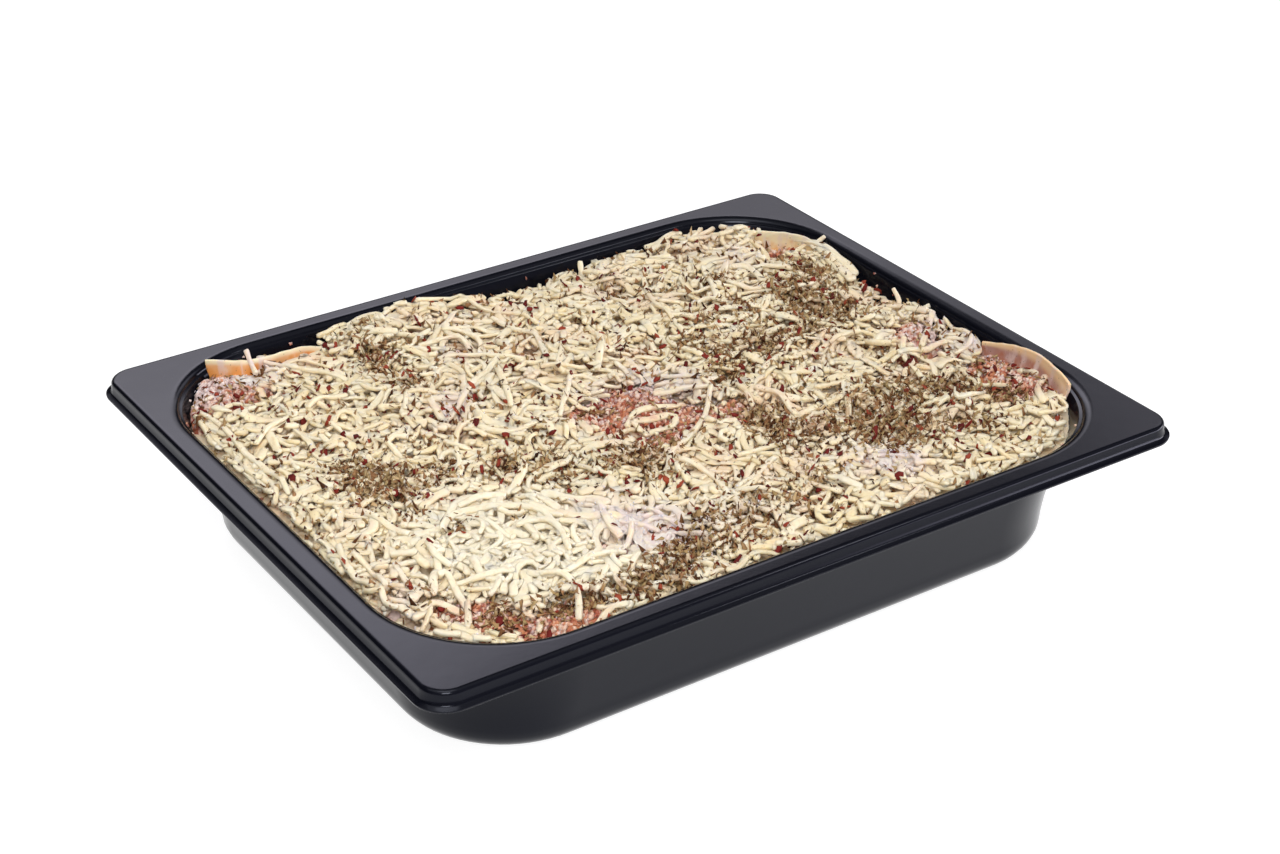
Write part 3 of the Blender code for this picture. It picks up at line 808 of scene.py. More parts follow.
def chosenPath(pixels):  # a smooth line through places in the photo, in even steps
    places = [photoPlace(across, down, food["level"]) for across, down in zip(pixels[::2], pixels[1::2])]
    run = smoothRun([(x, y, 0.0) for x, y in places], chosenLook["steps"])
    x, y = np.array([point.xy for point in run]).T
    x, y = toWall(x, y, topField.at(x, y), pileRules["wallClear"] + chosenLook["width"][1] / 2)
    along = np.concatenate([[0.0], np.cumsum(np.hypot(np.diff(x), np.diff(y)))])
    s = np.linspace(0.0, 1.0, max(pileRules["leastSteps"], round(along[-1] / pileRules["sampleStep"])))
    return np.interp(s * along[-1], along, x), np.interp(s * along[-1], along, y), s


def layStrip(pile, shape, path, width, thickness, lift):
    # Lets a strip down on the pile, adds it to the pile and returns its points.
    x, y, s = path
    step = math.hypot(x[1] - x[0], y[1] - y[0])
    sideX = -np.gradient(y) / step
    sideY = np.gradient(x) / step
    under = [pile.at(x + sideX * width * k, y + sideY * width * k) for k in pileRules["feelers"]]
    along = s * step * (len(s) - 1)
    sag = pileRules["slack"] * (along[:, None] - along[None, :]) ** 2
    z = np.max(np.max(under, axis=0)[None, :] - sag, axis=1)
    smoothing = pileRules["smoothing"]
    z = np.convolve(np.pad(z, smoothing // 2, mode="edge"), np.ones(smoothing) / smoothing, mode="valid")
    z = z + thickness * (0.5 - pileRules["sink"])
    z = z + lift * np.abs(2 * s - 1) ** pileRules["tip"] * (s > 0.5)
    for k in pileRules["crowns"]:
        crown = thickness / 2 * math.sqrt(1 - (2 * k) ** 2)
        pile.cover(x + sideX * width * k, y + sideY * width * k, z + crown)
    return bentStrip(shape, (x, y, z), s, width, thickness)


def bentStrip(shape, run, s, width, thickness, facing=(0.0, 0.0, 1.0)):
    # The points of a strip bent along a run, with its flat side turned to what it faces.
    points = shape[0]
    at = points[:, 0]
    centre = np.stack([np.interp(at, s, values) for values in run], axis=1)
    ahead = np.stack([np.interp(at, s, np.gradient(values)) for values in run], axis=1)
    ahead /= np.linalg.norm(ahead, axis=1)[:, None]
    side = np.cross(np.array(facing), ahead)
    side /= np.maximum(np.linalg.norm(side, axis=1), tiny)[:, None]
    up = np.cross(ahead, side)
    rules = pileRules
    roll = draw.uniform(*rules["roll"]) + draw.gauss(0.0, rules["twist"]) * (at - 0.5)
    waves = at * draw.uniform(*rules["swellRuns"]) + draw.uniform(*rules["swellStart"])
    swell = 1 + rules["swell"] * np.sin(waves)
    across = points[:, 1] * width / 2 * swell
    high = points[:, 2] * thickness / 2 * swell
    sideways = across * np.cos(roll) - high * np.sin(roll)
    upward = across * np.sin(roll) + high * np.cos(roll)
    return centre + side * sideways[:, None] + up * upward[:, None]


def fits(path, width):  # whether a strip is clear of the wall
    x, y, _ = path
    return np.min(insideBy(x, y, topField.at(x, y), pileRules["wallClear"] + width / 2)) > 0


def makeCheese(pile, finish):
    shapes = {name: stripShape(kind) for name, kind in strips.items()}
    made = {name: [] for name in strips}
    tints = {name: [] for name in strips}
    left = {name: kind["count"] for name, kind in strips.items()}
    chosen = [(pixels, group) for group, lines in chosenShreds.items() for pixels in lines]
    left["curledShreds"] -= len(chosen)
    tries = 0
    while any(left.values()) and tries < pileRules["tries"]:
        tries += 1
        name = draw.choices(list(left), weights=list(left.values()))[0]
        kind = strips[name]
        x = draw.uniform(-halfLength, halfLength)
        y = draw.uniform(-halfWidth, halfWidth)
        width = draw.uniform(*kind["width"])
        path = stripPath(kind, x, y, draw.uniform(*kind["length"]))
        if not fits(path, width):
            continue
        over = float(np.mean(pile.at(path[0], path[1]) - topField.at(path[0], path[1])))
        bare = float(np.mean(sauceField.at(path[0], path[1]) > pileRules["bareFrom"]))
        mat = float(np.mean(herbField.at(path[0], path[1]) > pileRules["matFrom"]))
        if over > pileRules["over"]:
            continue
        if draw.random() < bare * kind["bareSkip"] or draw.random() < mat * kind["matSkip"]:
            continue
        lift = kind["lift"] * draw.random() ** pileRules["lift"]
        made[name].append(layStrip(pile, shapes[name], path, width, draw.uniform(*kind["thickness"]), lift))
        tints[name].append(draw.random())
        left[name] -= 1
    for pixels, group in chosen:
        path = chosenPath(pixels)
        width = draw.uniform(*chosenLook["wider"].get(group, chosenLook["width"]))
        laid = layStrip(pile, shapes["curledShreds"], path, width, chosenLook["thickness"], 0.0)
        made["curledShreds"].append(laid)
        tints["curledShreds"].append(chosenLook["tint"] * draw.random())
    for pixels in standingShreds["lines"]:
        run = smoothRun([(*photoPlace(*place), place[2]) for place in pixels], standingShreds["steps"])
        run = [np.array([point[axis] for point in run]) for axis in range(3)]
        width = draw.uniform(*standingShreds["width"])
        s = np.linspace(0.0, 1.0, len(run[0]))
        stood = bentStrip(shapes["curledShreds"], run, s, width, standingShreds["thickness"], viewAxes()[2])
        made["curledShreds"].append(stood)
        tints["curledShreds"].append(standingShreds["tint"] * draw.random())
    print("strips laid", {name: len(found) for name, found in made.items()}, "in", tries, "tries")
    for name, found in made.items():
        points, faces = shapes[name]
        mesh = joinedMesh(name, faces, found)
        giveMaps(mesh, np.repeat(tints[name], len(points)))
        x, y, z = pointsOf(mesh).T
        # Painted shade: how far each point lies under the pile's top, which the finish darkens to a warm tan.
        depth = pile.at(x, y) - z - pileRules["buriedFrom"]
        giveAttribute(mesh, "buried", np.clip(depth / pileRules["buriedRun"], 0.0, 1.0))
        placed(mesh, name, finish, ["grated_cheese"])


# Frost: thin ragged sheets that hang over the shreds.
films = {
    "cell": 0.0006,
    "sheet": 0.0004,
    "lift": 0.0002,
    "blur": 0.0011,
    "grain": 0.0006,
    "margin": 1.25,
    "ragged": 0.62,
    "wallClear": 0.002,
    "spots": (  # place in the photo in pixels, half length and half width in metres, and turn in degrees
        (634, 526, 0.017, 0.009, -34.0),
        (655, 545, 0.010, 0.007, -34.0),
        (884, 469, 0.015, 0.007, -26.0),
        (252, 389, 0.008, 0.010, 10.0),
        (274, 366, 0.017, 0.004, -12.0),
        (684, 393, 0.010, 0.005, -34.0),
        (640, 384, 0.007, 0.005, -34.0),
        (967, 358, 0.006, 0.005, -34.0),
        (456, 411, 0.008, 0.007, 10.0),
        (735, 268, 0.009, 0.006, -34.0),
    ),
}


def makeFilms(pile, finish):
    bm = bmesh.new()
    for across, down, length, width, degrees in films["spots"]:
        middleX, middleY = photoPlace(across, down, food["level"])
        turn = math.radians(degrees)
        sides = [2 * films["margin"] * side for side in (length, width)]
        wide, deep = [round(side / films["cell"]) for side in sides]
        spread = Matrix.Translation((middleX, middleY, 0.0)) @ Matrix.Rotation(turn, 4, "Z")
        spread = spread @ Matrix.Diagonal((*sides, 1.0, 1.0))
        grid = bmesh.ops.create_grid(bm, x_segments=wide, y_segments=deep, size=0.5, matrix=spread)["verts"]
        x, y = flatPlaces(grid)
        along = ((x - middleX) * math.cos(turn) + (y - middleY) * math.sin(turn)) / length
        across = ((y - middleY) * math.cos(turn) - (x - middleX) * math.sin(turn)) / width
        share = 1 - np.hypot(along, across) + films["ragged"] * ragField.at(x, y)
        blur = films["blur"]
        near = [pile.at(x + i * blur, y + j * blur) for i in (-1, 0, 1) for j in (-1, 0, 1)]
        z = np.mean(near, axis=0) + films["lift"] + films["grain"] * roughField.at(x, y)
        for vert, height in zip(grid, z):
            vert.co.z = height
        kept = (share > 0) & (insideBy(x, y, z, films["wallClear"]) > 0)
        pile.cover(x[kept], y[kept], z[kept])
        lost = [vert for vert, stays in zip(grid, kept) if not stays]
        bmesh.ops.delete(bm, geom=lost, context="VERTS")
    bmesh.ops.delete(bm, geom=[vert for vert in bm.verts if not vert.link_faces], context="VERTS")
    bmesh.ops.recalc_face_normals(bm, faces=bm.faces)
    mesh = meshFrom(bm, "frostFilms")
    giveMaps(mesh, 0.5)
    thicken(placed(mesh, "frostFilms", finish), films["sheet"], 0.0)


# Small pieces strewn over the pile: the even share falls anywhere, the rest where the density says.
bits = {
    "herbFlakes": {
        "count": 17500, "length": (0.0016, 0.0048), "width": (0.0010, 0.0024), "thickness": 0.0003,
        "even": 0.075, "tilt": 0.50, "jitter": 0.15, "rise": 1.2,
    },
    "chilliFlakes": {
        "count": 1000, "length": (0.0018, 0.0040), "width": (0.0013, 0.0028), "thickness": 0.0005,
        "even": 0.40, "tilt": 0.16, "jitter": 0.15, "rise": 0.7,
    },
    "meatCrumbs": {
        "count": 4700, "length": (0.0010, 0.0030), "width": (0.0009, 0.0024), "thickness": 0.0017,
        "even": 0.02, "tilt": 0.4, "jitter": 0.13, "rise": 0.2, "cover": True,
    },
    "frostGrains": {
        "count": 2200, "length": (0.0004, 0.0010), "width": (0.0004, 0.0009), "thickness": 0.0005,
        "even": 0.06, "tilt": 1.0, "jitter": 0.1, "rise": 0.3,
    },
}


bitRules = {
    "batch": 4000,
    "most": 1.3,  # density over which a place gets no more of them
    "wallClear": 0.0015,
    "thickness": (0.6, 1.4),
    "slopeReach": 0.0009,
    "steepest": 0.9,
    "coverAt": (-0.3, 0.0, 0.3),
    "coverRise": 0.4,
}


def chipShape(sides, narrowed):  # a flat chip that is narrower at one end
    bm = bmesh.new()
    bmesh.ops.create_cone(bm, cap_ends=True, segments=sides, radius1=0.5, radius2=narrowed, depth=1.0)
    return shapeFrom(bm)


def lumpShape():
    bm = bmesh.new()
    bmesh.ops.create_icosphere(bm, subdivisions=1, radius=0.5)
    return shapeFrom(bm)


def strewn(kind, density, surface):  # places where a random draw falls under the density
    batch, most = bitRules["batch"], bitRules["most"]
    found = []
    while len(found) < kind["count"]:
        x = table.uniform(-halfLength, halfLength, batch)
        y = table.uniform(-halfWidth, halfWidth, batch)
        wanted = np.clip(kind["even"] + density(x, y), 0.0, most) > table.uniform(0.0, most, batch)
        inside = insideBy(x, y, surface.at(x, y), bitRules["wallClear"]) > 0
        found.extend(zip(x[wanted & inside], y[wanted & inside]))
    return np.array(found[: kind["count"]])


def turned(angles):  # rotation matrices from a tilt about X, a tilt about Y and a turn about Z
    made = np.eye(3)
    for axis, first, second in ((2, 0, 1), (1, 2, 0), (0, 1, 2)):
        turn = np.tile(np.eye(3), (len(angles), 1, 1))
        turn[:, first, first] = turn[:, second, second] = np.cos(angles[:, axis])
        turn[:, second, first] = np.sin(angles[:, axis])
        turn[:, first, second] = -np.sin(angles[:, axis])
        made = made @ turn
    return made


wallBits = {"count": 46, "size": (0.0006, 0.0017), "jitter": 0.2, "clear": 0.0001, "under": (0.0022, 0.0085)}


def makeWallBits(finish):  # crumbs that stick to the wall over the food
    points, faces = lumpShape()
    count = wallBits["count"]
    turn = table.uniform(0, 2 * math.pi, count)
    z = rim - table.uniform(*wallBits["under"], count)
    x, y = toWall(2 * halfLength * np.cos(turn), 2 * halfLength * np.sin(turn), z, wallBits["clear"])
    size = table.uniform(*wallBits["size"], (count, 1, 3))
    uneven = points[None] + table.uniform(-wallBits["jitter"], wallBits["jitter"], (count, len(points), 3))
    copies = uneven * size + np.stack([x, y, z], 1)[:, None]
    mesh = joinedMesh("wallBits", faces, list(copies))
    giveMaps(mesh, np.repeat(table.random(count), len(points)))
    placed(mesh, "wallBits", finish)


def slopeAt(surface, x, y):  # how steeply a surface rises along X and along Y, within limits
    reach, steepest = bitRules["slopeReach"], bitRules["steepest"]
    alongX = (surface.at(x + reach, y) - surface.at(x - reach, y)) / (2 * reach)
    alongY = (surface.at(x, y + reach) - surface.at(x, y - reach)) / (2 * reach)
    return np.clip(alongX, -steepest, steepest), np.clip(alongY, -steepest, steepest)


def strew(name, shape, density, pile, finish):
    kind = bits[name]
    places = strewn(kind, density, pile)
    count = len(places)
    points, faces = shape
    size = np.stack([
        table.uniform(*kind["length"], count),
        table.uniform(*kind["width"], count),
        kind["thickness"] * table.uniform(*bitRules["thickness"], count),
    ], 1)
    uneven = points[None] + table.uniform(-kind["jitter"], kind["jitter"], (count, len(points), 3))
    angles = np.stack([
        table.normal(0, kind["tilt"], count),
        table.normal(0, kind["tilt"], count),
        table.uniform(0, 2 * math.pi, count),
    ], 1)
    x, y = places.T
    z = pile.at(x, y) + kind["rise"] * size[:, 2]
    spread = np.einsum("nij,npj->npi", turned(angles), uneven * size[:, None])
    slopeX, slopeY = slopeAt(pile, x, y)
    spread[..., 2] += slopeX[:, None] * spread[..., 0] + slopeY[:, None] * spread[..., 1]
    copies = spread + np.stack([x, y, z], 1)[:, None]
    if kind.get("cover"):
        for i in bitRules["coverAt"]:
            for j in bitRules["coverAt"]:
                pile.cover(x + i * size[:, 0], y + j * size[:, 0], z + size[:, 2] * bitRules["coverRise"])
    mesh = joinedMesh(name, faces, list(copies))
    giveMaps(mesh, np.repeat(table.random(count), len(points)))
    placed(mesh, name, finish)


# Pasta: the edges of three sheets that stand out of the top.
pasta = {
    "sheet": 0.0012,
    "depth": 0.012,
    "fineSteps": 8,
    "rows": 8,
    "ruffle": 0.0005,
    "ruffleScale": (160, 260),
    "ruffleRise": 0.6,
    "bevel": 0.0004,
    "bevelSegments": 3,
    "bevelAngle": 60,
    "lean": {"left": 0.25, "back": 0.35, "right": 0.30},
    "rimWidth": {"left": (1.0, 1.0), "back": (1.0, 1.6), "right": (0.7, 3.2)},  # of the pale rim, at each end
    "colours": {  # the rim of the sheet's edge, its face, and the stains on that
        "left": ((0.86, 0.74, 0.50), (0.82, 0.48, 0.22), (0.75, 0.30, 0.07)),
        "back": ((0.86, 0.76, 0.52), (0.84, 0.70, 0.44), (0.74, 0.38, 0.12)),
        "right": ((0.86, 0.62, 0.36), (0.47, 0.27, 0.23), (0.44, 0.16, 0.09)),
    },
    "runs": {  # x, y and height over the rim of points along each edge
        "left": (
            (-0.1252, 0.1110, 0.0046),
            (-0.1172, 0.1064, 0.0038),
            (-0.1090, 0.1068, 0.0014),
            (-0.1000, 0.1090, -0.0004),
            (-0.0910, 0.1095, -0.0008),
            (-0.0820, 0.1110, -0.0022),
            (-0.0720, 0.1070, -0.0035),
        ),
        "back": (
            (0.1020, 0.1110, -0.0030),
            (0.1150, 0.1075, -0.0018),
            (0.1270, 0.1005, -0.0012),
            (0.1370, 0.0905, -0.0002),
            (0.1430, 0.0790, 0.0004),
            (0.1448, 0.0660, -0.0012),
            (0.1430, 0.0520, -0.0035),
        ),
        "right": (
            (0.1440, -0.0380, -0.0010),
            (0.1462, -0.0480, 0.0018),
            (0.1474, -0.0590, 0.0042),
            (0.1470, -0.0700, 0.0050),
            (0.1452, -0.0810, 0.0047),
            (0.1424, -0.0905, 0.0036),
        ),
    },
}


def smoothRun(given, steps):  # a smooth line through the points
    given = [Vector(point) for point in given]
    ends = [2 * given[0] - given[1], *given, 2 * given[-1] - given[-2]]
    line = []
    for before, start, end, after in zip(ends, ends[1:], ends[2:], ends[3:]):
        for step in range(steps):
            t = step / steps
            bend = 2 * before - 5 * start + 4 * end - after
            turn = 3 * start - before - 3 * end + after
            line.append(start + 0.5 * t * ((end - before) + t * (bend + t * turn)))
    return [*line, given[-1]]


def makePasta(name):
    crest = smoothRun(pasta["runs"][name], pasta["fineSteps"])
    lean = pasta["lean"][name]
    bm = bmesh.new()
    row = [bm.verts.new(point + Vector((0, 0, rim))) for point in crest]
    edges = [bm.edges.new(pair) for pair in zip(row, row[1:])]
    starts = {vert: vert.co.copy() for vert in row}
    for step in range(1, pasta["rows"] + 1):
        edges, starts = extrudeEdges(bm, edges, starts)
        share = step / pasta["rows"]
        for vert, top in starts.items():
            inward = Vector((-top.x, -top.y, 0.0)).normalized()
            drop = share * pasta["depth"]
            vert.co = top + inward * lean * share * drop - Vector((0, 0, drop))
    outwards, upwards = pasta["ruffleScale"]
    for vert in bm.verts:
        outward = Vector((vert.co.x, vert.co.y, 0.0)).normalized()
        vert.co += outward * pasta["ruffle"] * noise.noise(vert.co * outwards)
        vert.co.z += pasta["ruffleRise"] * pasta["ruffle"] * noise.noise(vert.co * upwards)
    title = f"pasta{name.title()}"
    mesh = meshFrom(bm, title)
    x, y, z = pointsOf(mesh).T
    crestX, crestY, crestZ = np.array([point[:] for point in crest]).T
    nearest = np.argmin(np.hypot(x[:, None] - crestX, y[:, None] - crestY), axis=1)
    rimWidth = np.interp(nearest, (0, len(crest) - 1), pasta["rimWidth"][name])
    giveAttribute(mesh, "down", (crestZ[nearest] + rim - z) / pasta["depth"] / rimWidth)
    finish = pastaFinish(title, *(colour(*tone) for tone in pasta["colours"][name]))
    piece = placed(mesh, title, finish, [f"pasta_sheet_{name}"])
    thicken(piece, pasta["sheet"], 0.0)
    soften(piece, pasta["bevel"], pasta["bevelSegments"], pasta["bevelAngle"])


# Finishes
def blackPlastic():
    f = Finish("blackPlastic", {"Specular IOR Level": 0.19, "Specular Tint": colour(0.82, 0.85, 1.0)})
    dust = f.between(f.cells(900.0), 0.06, 0.02) * f.between(f.noise(45.0, 3.0), 0.50, 0.72)
    base = f.mix(f.noise(9.0, 3.0), colour(0.0024, 0.0027, 0.0048), colour(0.0044, 0.0048, 0.0082))
    f.give("Base Color", f.mix(dust * 0.35, base, colour(0.30, 0.30, 0.33)))
    f.give("Roughness", 0.10 + 0.09 * f.noise(30.0, 4.0) + 0.20 * dust)
    f.bump(0.5 * f.noise(40.0, 2.0) + 0.06 * f.noise(700.0, 3.0), 0.0006, 0.20)
    return f


def cheeseFinish(name, light, deep):
    f = Finish(name, {
        "Subsurface Weight": 0.75,
        "Subsurface Radius": (1.0, 0.94, 0.84),
        "Subsurface Scale": 0.0025,
        "Specular IOR Level": 0.30,
    })
    herb = f.attribute("herb")
    pale = f.attribute("pale")
    # Painted shade: points deep under the pile's top are darkened to a warm tan where shade falls between
    # strips, less in the pale heap.
    buried = f.attribute("buried") * (1 - 0.6 * pale)
    base = f.mix(0.65 * f.attribute("tint") + 0.35 * f.noise(60.0) - 0.6 * pale, light, deep)
    base = f.mix(f.between(f.noise(300.0, 3.0), 0.45, 0.70) * 0.40, base, colour(0.93, 0.86, 0.72))
    base = f.mix(f.between(f.noise(480.0, 4.0), 0.52, 0.66) * 0.30, base, colour(0.70, 0.50, 0.28))
    paintedShadeTone = f.mix(f.noise(70.0, 3.0), colour(0.86, 0.68, 0.45), colour(0.74, 0.49, 0.34))
    base = f.mix(buried * 0.75, base, paintedShadeTone)
    sauce = f.attribute("sauce") * f.between(f.noise(150.0, 3.0), 0.42, 0.70)
    base = f.mix(sauce * 0.6, base, colour(0.68, 0.34, 0.22))
    blush = f.between(f.noise(34.0, 3.0), 0.52, 0.68) * (1 - 0.8 * pale)  # where juice has soaked in
    base = f.mix(blush * 0.40, base, colour(0.80, 0.54, 0.42))
    frost = f.attribute("frost") * f.between(f.noise(220.0, 3.0), 0.30, 0.60)
    iced = f.mix(f.noise(400.0, 4.0), colour(0.88, 0.79, 0.74), colour(0.64, 0.47, 0.43))
    base = f.mix(frost * 0.8, base, iced)
    stain = f.between(herb, 0.35, 1.05) * f.between(f.noise(240.0, 3.0), 0.42, 0.60)
    dusty = f.mix(f.noise(420.0, 3.0), colour(0.20, 0.10, 0.05), colour(0.56, 0.38, 0.22))
    base = f.mix(stain * 0.8, base, dusty)
    where = f.between(f.noise(130.0, 2.0) + herb * 0.4 - pale * 0.2, 0.54, 0.68)
    fine = f.between(f.cells(760.0), 0.24, 0.15) * where
    base = f.mix(fine * 0.75, base, colour(0.30, 0.17, 0.07))
    where = f.between(f.noise(90.0, 3.0) + herb * 0.2 - pale * 0.2, 0.52, 0.62)
    coarse = f.between(f.cells(340.0), 0.20, 0.13) * where
    speck = f.mix(f.noise(45.0), colour(0.42, 0.12, 0.05), colour(0.26, 0.17, 0.07))
    base = f.mix(coarse * 0.85, base, speck)
    f.give("Base Color", base)
    f.give("Roughness", 0.36 + 0.22 * f.noise(200.0))
    f.bump(f.noise(420.0, 3.0) + 0.5 * f.noise(1400.0, 2.0), 0.0003, 0.32)
    return f


def sauceFinish():
    f = Finish("meatSauce", {"Specular IOR Level": 0.4})
    grain = f.cells(420.0)
    mottle = f.between(f.noise(160.0, 4.0), 0.35, 0.65)
    base = f.mix(mottle, colour(0.34, 0.085, 0.045), colour(0.58, 0.23, 0.10))
    base = f.mix(f.between(f.noise(90.0, 3.0), 0.54, 0.70), base, colour(0.17, 0.045, 0.03))
    frost = f.between(f.noise(240.0, 4.0) + 0.30 * f.attribute("frost"), 0.48, 0.76)
    base = f.mix(frost * 0.85, base, colour(0.74, 0.60, 0.56))
    f.give("Base Color", base)
    f.give("Roughness", 0.40 + 0.35 * frost)
    f.bump(grain + f.noise(900.0, 3.0) * 0.5, 0.0008, 0.7)
    return f


def crumbFinish():
    f = Finish("meatCrumb", {"Specular IOR Level": 0.4})
    tint = f.attribute("tint")
    stops = (
        (0.0, colour(0.17, 0.035, 0.022)),
        (0.25, colour(0.42, 0.11, 0.055)),
        (0.50, colour(0.62, 0.25, 0.12)),
        (0.72, colour(0.72, 0.46, 0.33)),
        (1.0, colour(0.82, 0.68, 0.54)),
    )
    base = f.node("ValToRGB", {"stops": stops}, {"Fac": tint})
    base = f.mix(f.between(f.noise(300.0, 3.0), 0.55, 0.7) * 0.7, base, colour(0.26, 0.055, 0.03))
    frost = f.between(f.noise(350.0, 3.0) + 0.35 * f.attribute("frost"), 0.48, 0.76)
    f.give("Base Color", f.mix(frost * 0.8, base, colour(0.82, 0.70, 0.66)))
    f.give("Roughness", 0.40 + 0.30 * frost)
    f.bump(f.noise(1100.0, 3.0), 0.0004, 0.6)
    return f


def pastaFinish(name, edge, face, stain):
    f = Finish(name, {
        "Subsurface Weight": 0.2,
        "Subsurface Radius": (1.0, 0.5, 0.3),
        "Subsurface Scale": 0.002,
    })
    down = f.attribute("down")
    mottle = f.noise(110.0, 4.0)
    sauce = f.between(mottle + down * 0.5, 0.50, 0.80)
    base = f.mix(f.between(down, 0.06, 0.22), edge, f.mix(sauce, face, stain))
    frost = f.between(f.noise(170.0, 4.0, stretch=(1.0, 1.0, 0.4)), 0.50, 0.66)
    base = f.mix(frost * 0.7, base, colour(0.76, 0.62, 0.58))
    herb = f.between(f.cells(520.0), 0.16, 0.08)
    f.give("Base Color", f.mix(herb * 0.7, base, colour(0.14, 0.09, 0.04)))
    f.give("Roughness", 0.35 + 0.25 * mottle)
    f.bump(mottle + 0.3 * f.noise(700.0, 3.0), 0.0005, 0.5)
    return f


def flakeFinish(name, *colours):  # from the darkest flakes to the lightest
    f = Finish(name, {"Specular IOR Level": 0.1})
    stops = [(place / (len(colours) - 1), stop) for place, stop in enumerate(colours)]
    tone = f.attribute("tint") * 0.85 + 0.15 * f.noise(900.0)
    f.give("Base Color", f.node("ValToRGB", {"stops": stops}, {"Fac": tone}))
    f.give("Roughness", 0.5 + 0.3 * f.noise(500.0))
    f.bump(f.noise(2500.0), 0.0001, 0.5)
    return f


def filmFinish():
    f = Finish("frostFilm", {
        "Subsurface Weight": 0.4,
        "Subsurface Radius": (1.0, 0.9, 0.9),
        "Subsurface Scale": 0.002,
    })
    mottle = f.between(f.noise(230.0, 5.0), 0.40, 0.66)
    base = f.mix(mottle, colour(0.86, 0.78, 0.70), colour(0.70, 0.53, 0.45))
    stain = f.between(f.noise(200.0, 4.0), 0.56, 0.66)
    f.give("Base Color", f.mix(stain * 0.7, base, colour(0.56, 0.30, 0.19)))
    f.give("Roughness", 0.35 + 0.30 * f.noise(300.0))
    f.bump(f.noise(500.0, 4.0), 0.0006, 0.6)
    return f


def frostFinish():
    f = Finish("frostGrain", {
        "Subsurface Weight": 0.4,
        "Subsurface Radius": (1.0, 1.0, 1.0),
        "Subsurface Scale": 0.001,
    })
    f.give("Base Color", f.mix(f.attribute("tint"), colour(0.86, 0.84, 0.86), colour(0.74, 0.66, 0.72)))
    f.give("Roughness", 0.35 + 0.3 * f.noise(600.0))
    f.bump(f.noise(1800.0), 0.0002, 0.6)
    return f


def paleFloor():
    f = Finish("paleFloor", {"Specular IOR Level": 0.2})
    f.give("Base Color", f.mix(f.noise(3.0, 2.0), colour(0.25, 0.25, 0.25), colour(0.28, 0.28, 0.28)))
    f.give("Roughness", 0.6 + 0.1 * f.noise(8.0))
    f.give("Emission Color", colour(1.0, 1.0, 1.0))
    f.give("Emission Strength", stage["floorGlow"])
    return f


# Floor and light
stage = {
    "floorSize": 8.0,
    "sky": {
        "dark": 0.02, "back": 0.03, "panel": 4.1, "right": 1.7,
        "fill": 0.25, "side": 9.0, "roof": 0.45, "overhead": 2.8,
    },
    "skyEdges": {  # where each part of the sky begins and where it is full, along a direction's X, Y or Z
        "low": (0.30, 0.38), "upper": (0.38, 0.54), "top": (0.72, 0.64), "slant": (1.34, 1.22),
        "left": (-0.25, 0.15), "behind": (0.1, 0.4), "right": (0.58, 0.66), "side": (0.48, 0.72),
        "sideTop": (0.30, 0.15), "front": (0.1, -0.3), "roof": (0.75, 0.90), "overhead": (0.955, 0.975),
        "white": (0.70, 0.90),
    },
    "lowShare": 0.3,
    "slant": 1.5,
    "lights": {  # place, size, watts
        "keyLight": ((-0.55, -0.10, 1.35), 1.1, 3.2),
        "sideLight": ((0.95, -0.95, 1.35), 0.26, 2.6),
        "frontLight": ((-0.56, -0.84, 0.86), 0.45, 8.6),
    },
    "floorGlow": 0.90,
    "aim": (0.0, 0.0, 0.04),
}


def makeSky():
    # The rim mirrors a pale panel behind the tray, which fades low down, high up and towards the left.
    # The skirt mirrors a bright strip low down at the right, and the food gets light from the roof.
    sky = Sky("studio")
    level = stage["sky"]
    axes = {axis: sky.part(axis) for axis in "XYZ"}
    axes["slant"] = axes["X"] + stage["slant"] * axes["Z"]

    def edge(axis, name):
        return sky.between(axes[axis], *stage["skyEdges"][name])

    lowShare = stage["lowShare"]
    band = edge("Z", "low") * (lowShare + (1 - lowShare) * edge("Z", "upper")) * edge("Z", "top")
    panel = level["back"] + level["panel"] * edge("slant", "slant") * edge("X", "left")
    behind = band * edge("Y", "behind") * (panel + level["right"] * edge("X", "right"))
    side = level["side"] * edge("X", "side") * edge("Z", "sideTop")
    front = edge("Y", "front") * (level["fill"] + side)
    over = level["roof"] * edge("Z", "roof") + level["overhead"] * edge("Z", "overhead")
    sky.give("Strength", level["dark"] + behind + front + over)
    sky.give("Color", sky.mix(edge("Z", "white"), colour(0.94, 0.91, 1.0), colour(1.0, 1.0, 1.0)))


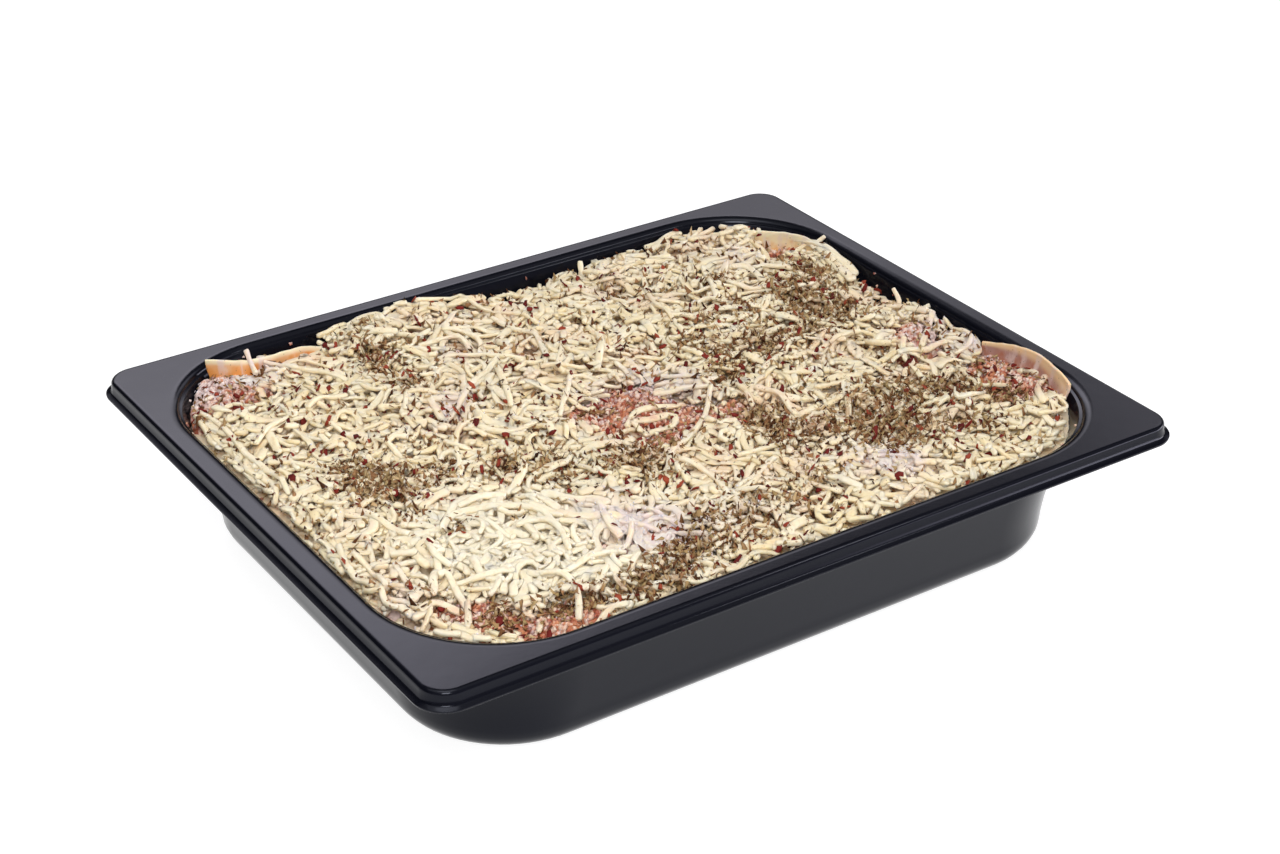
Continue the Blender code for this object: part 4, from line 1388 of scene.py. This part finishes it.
def makeStage():
    bm = bmesh.new()
    bmesh.ops.create_grid(bm, x_segments=2, y_segments=2, size=stage["floorSize"] / 2)
    mesh = meshFrom(bm, "floor")
    mesh.materials.append(paleFloor().material)
    linked("floor", mesh)
    makeSky()
    for name, (place, size, watts) in stage["lights"].items():
        light = bpy.data.lights.new(name, "AREA")
        light.shape = "SQUARE"
        light.size = size
        light.energy = watts
        lamp = linked(name, light)
        lamp.location = place
        lamp.rotation_euler = (Vector(stage["aim"]) - Vector(place)).to_track_quat("-Z", "Y").to_euler()
    scene.view_settings.view_transform = "Standard"


makeCamera()
makeStage()
print("camera, floor and lights made")
makeTray(blackPlastic())
print("tray made")

cheeseLook = cheeseFinish("gratedCheese", colour(0.90, 0.79, 0.58), colour(0.85, 0.67, 0.39))
# The bed is a deeper beige than the strips: partly the cheese's own tone, partly painted shade for the gaps
# where it shows between strips.
bedLook = cheeseFinish("cheeseBed", colour(0.86, 0.72, 0.51), colour(0.76, 0.57, 0.36))
sauceLook = sauceFinish()
crumbLook = crumbFinish()
makeLayer("sauceFilling", sauceTop, food["cells"]["filling"], 0.0, food["sauce"]["rings"], sauceLook,
          "meat_sauce_filling")
makeLayer("cheeseBed", bedTop, food["cells"]["bed"], food["bed"]["depth"], 1, bedLook,
          "grated_cheese")
print("filling and cheese bed made")

pile = Field(pileRules["cell"], lambda x, y: np.maximum(bedTop(x, y), sauceTop(x, y)))
strew("meatCrumbs", lumpShape(), lambda x, y: sauceField.at(x, y) ** 2, pile, crumbLook)
for sheet in pasta["runs"]:
    makePasta(sheet)
print("pasta made")
makeCheese(pile, cheeseLook)
makeFilms(pile, filmFinish())
herbLook = flakeFinish(
    "herb", colour(0.026, 0.009, 0.004), colour(0.13, 0.052, 0.020), colour(0.36, 0.19, 0.085),
    colour(0.38, 0.27, 0.12), colour(0.72, 0.51, 0.29),
)
chilliLook = flakeFinish(
    "chilli", colour(0.07, 0.010, 0.010), colour(0.20, 0.022, 0.016), colour(0.36, 0.075, 0.035),
)
strew("herbFlakes", chipShape(3, 0.36), lambda x, y: herbField.at(x, y) ** 1.35 - 0.12 * paleField.at(x, y),
      pile, herbLook)
strew("chilliFlakes", chipShape(6, 0.42), lambda x, y: 0.5 * herbField.at(x, y) - 0.3 * paleField.at(x, y),
      pile, chilliLook)
strew("frostGrains", lumpShape(), frostField.at, pile, frostFinish())
makeWallBits(crumbLook)
print("herbs, chilli and frost strewn")
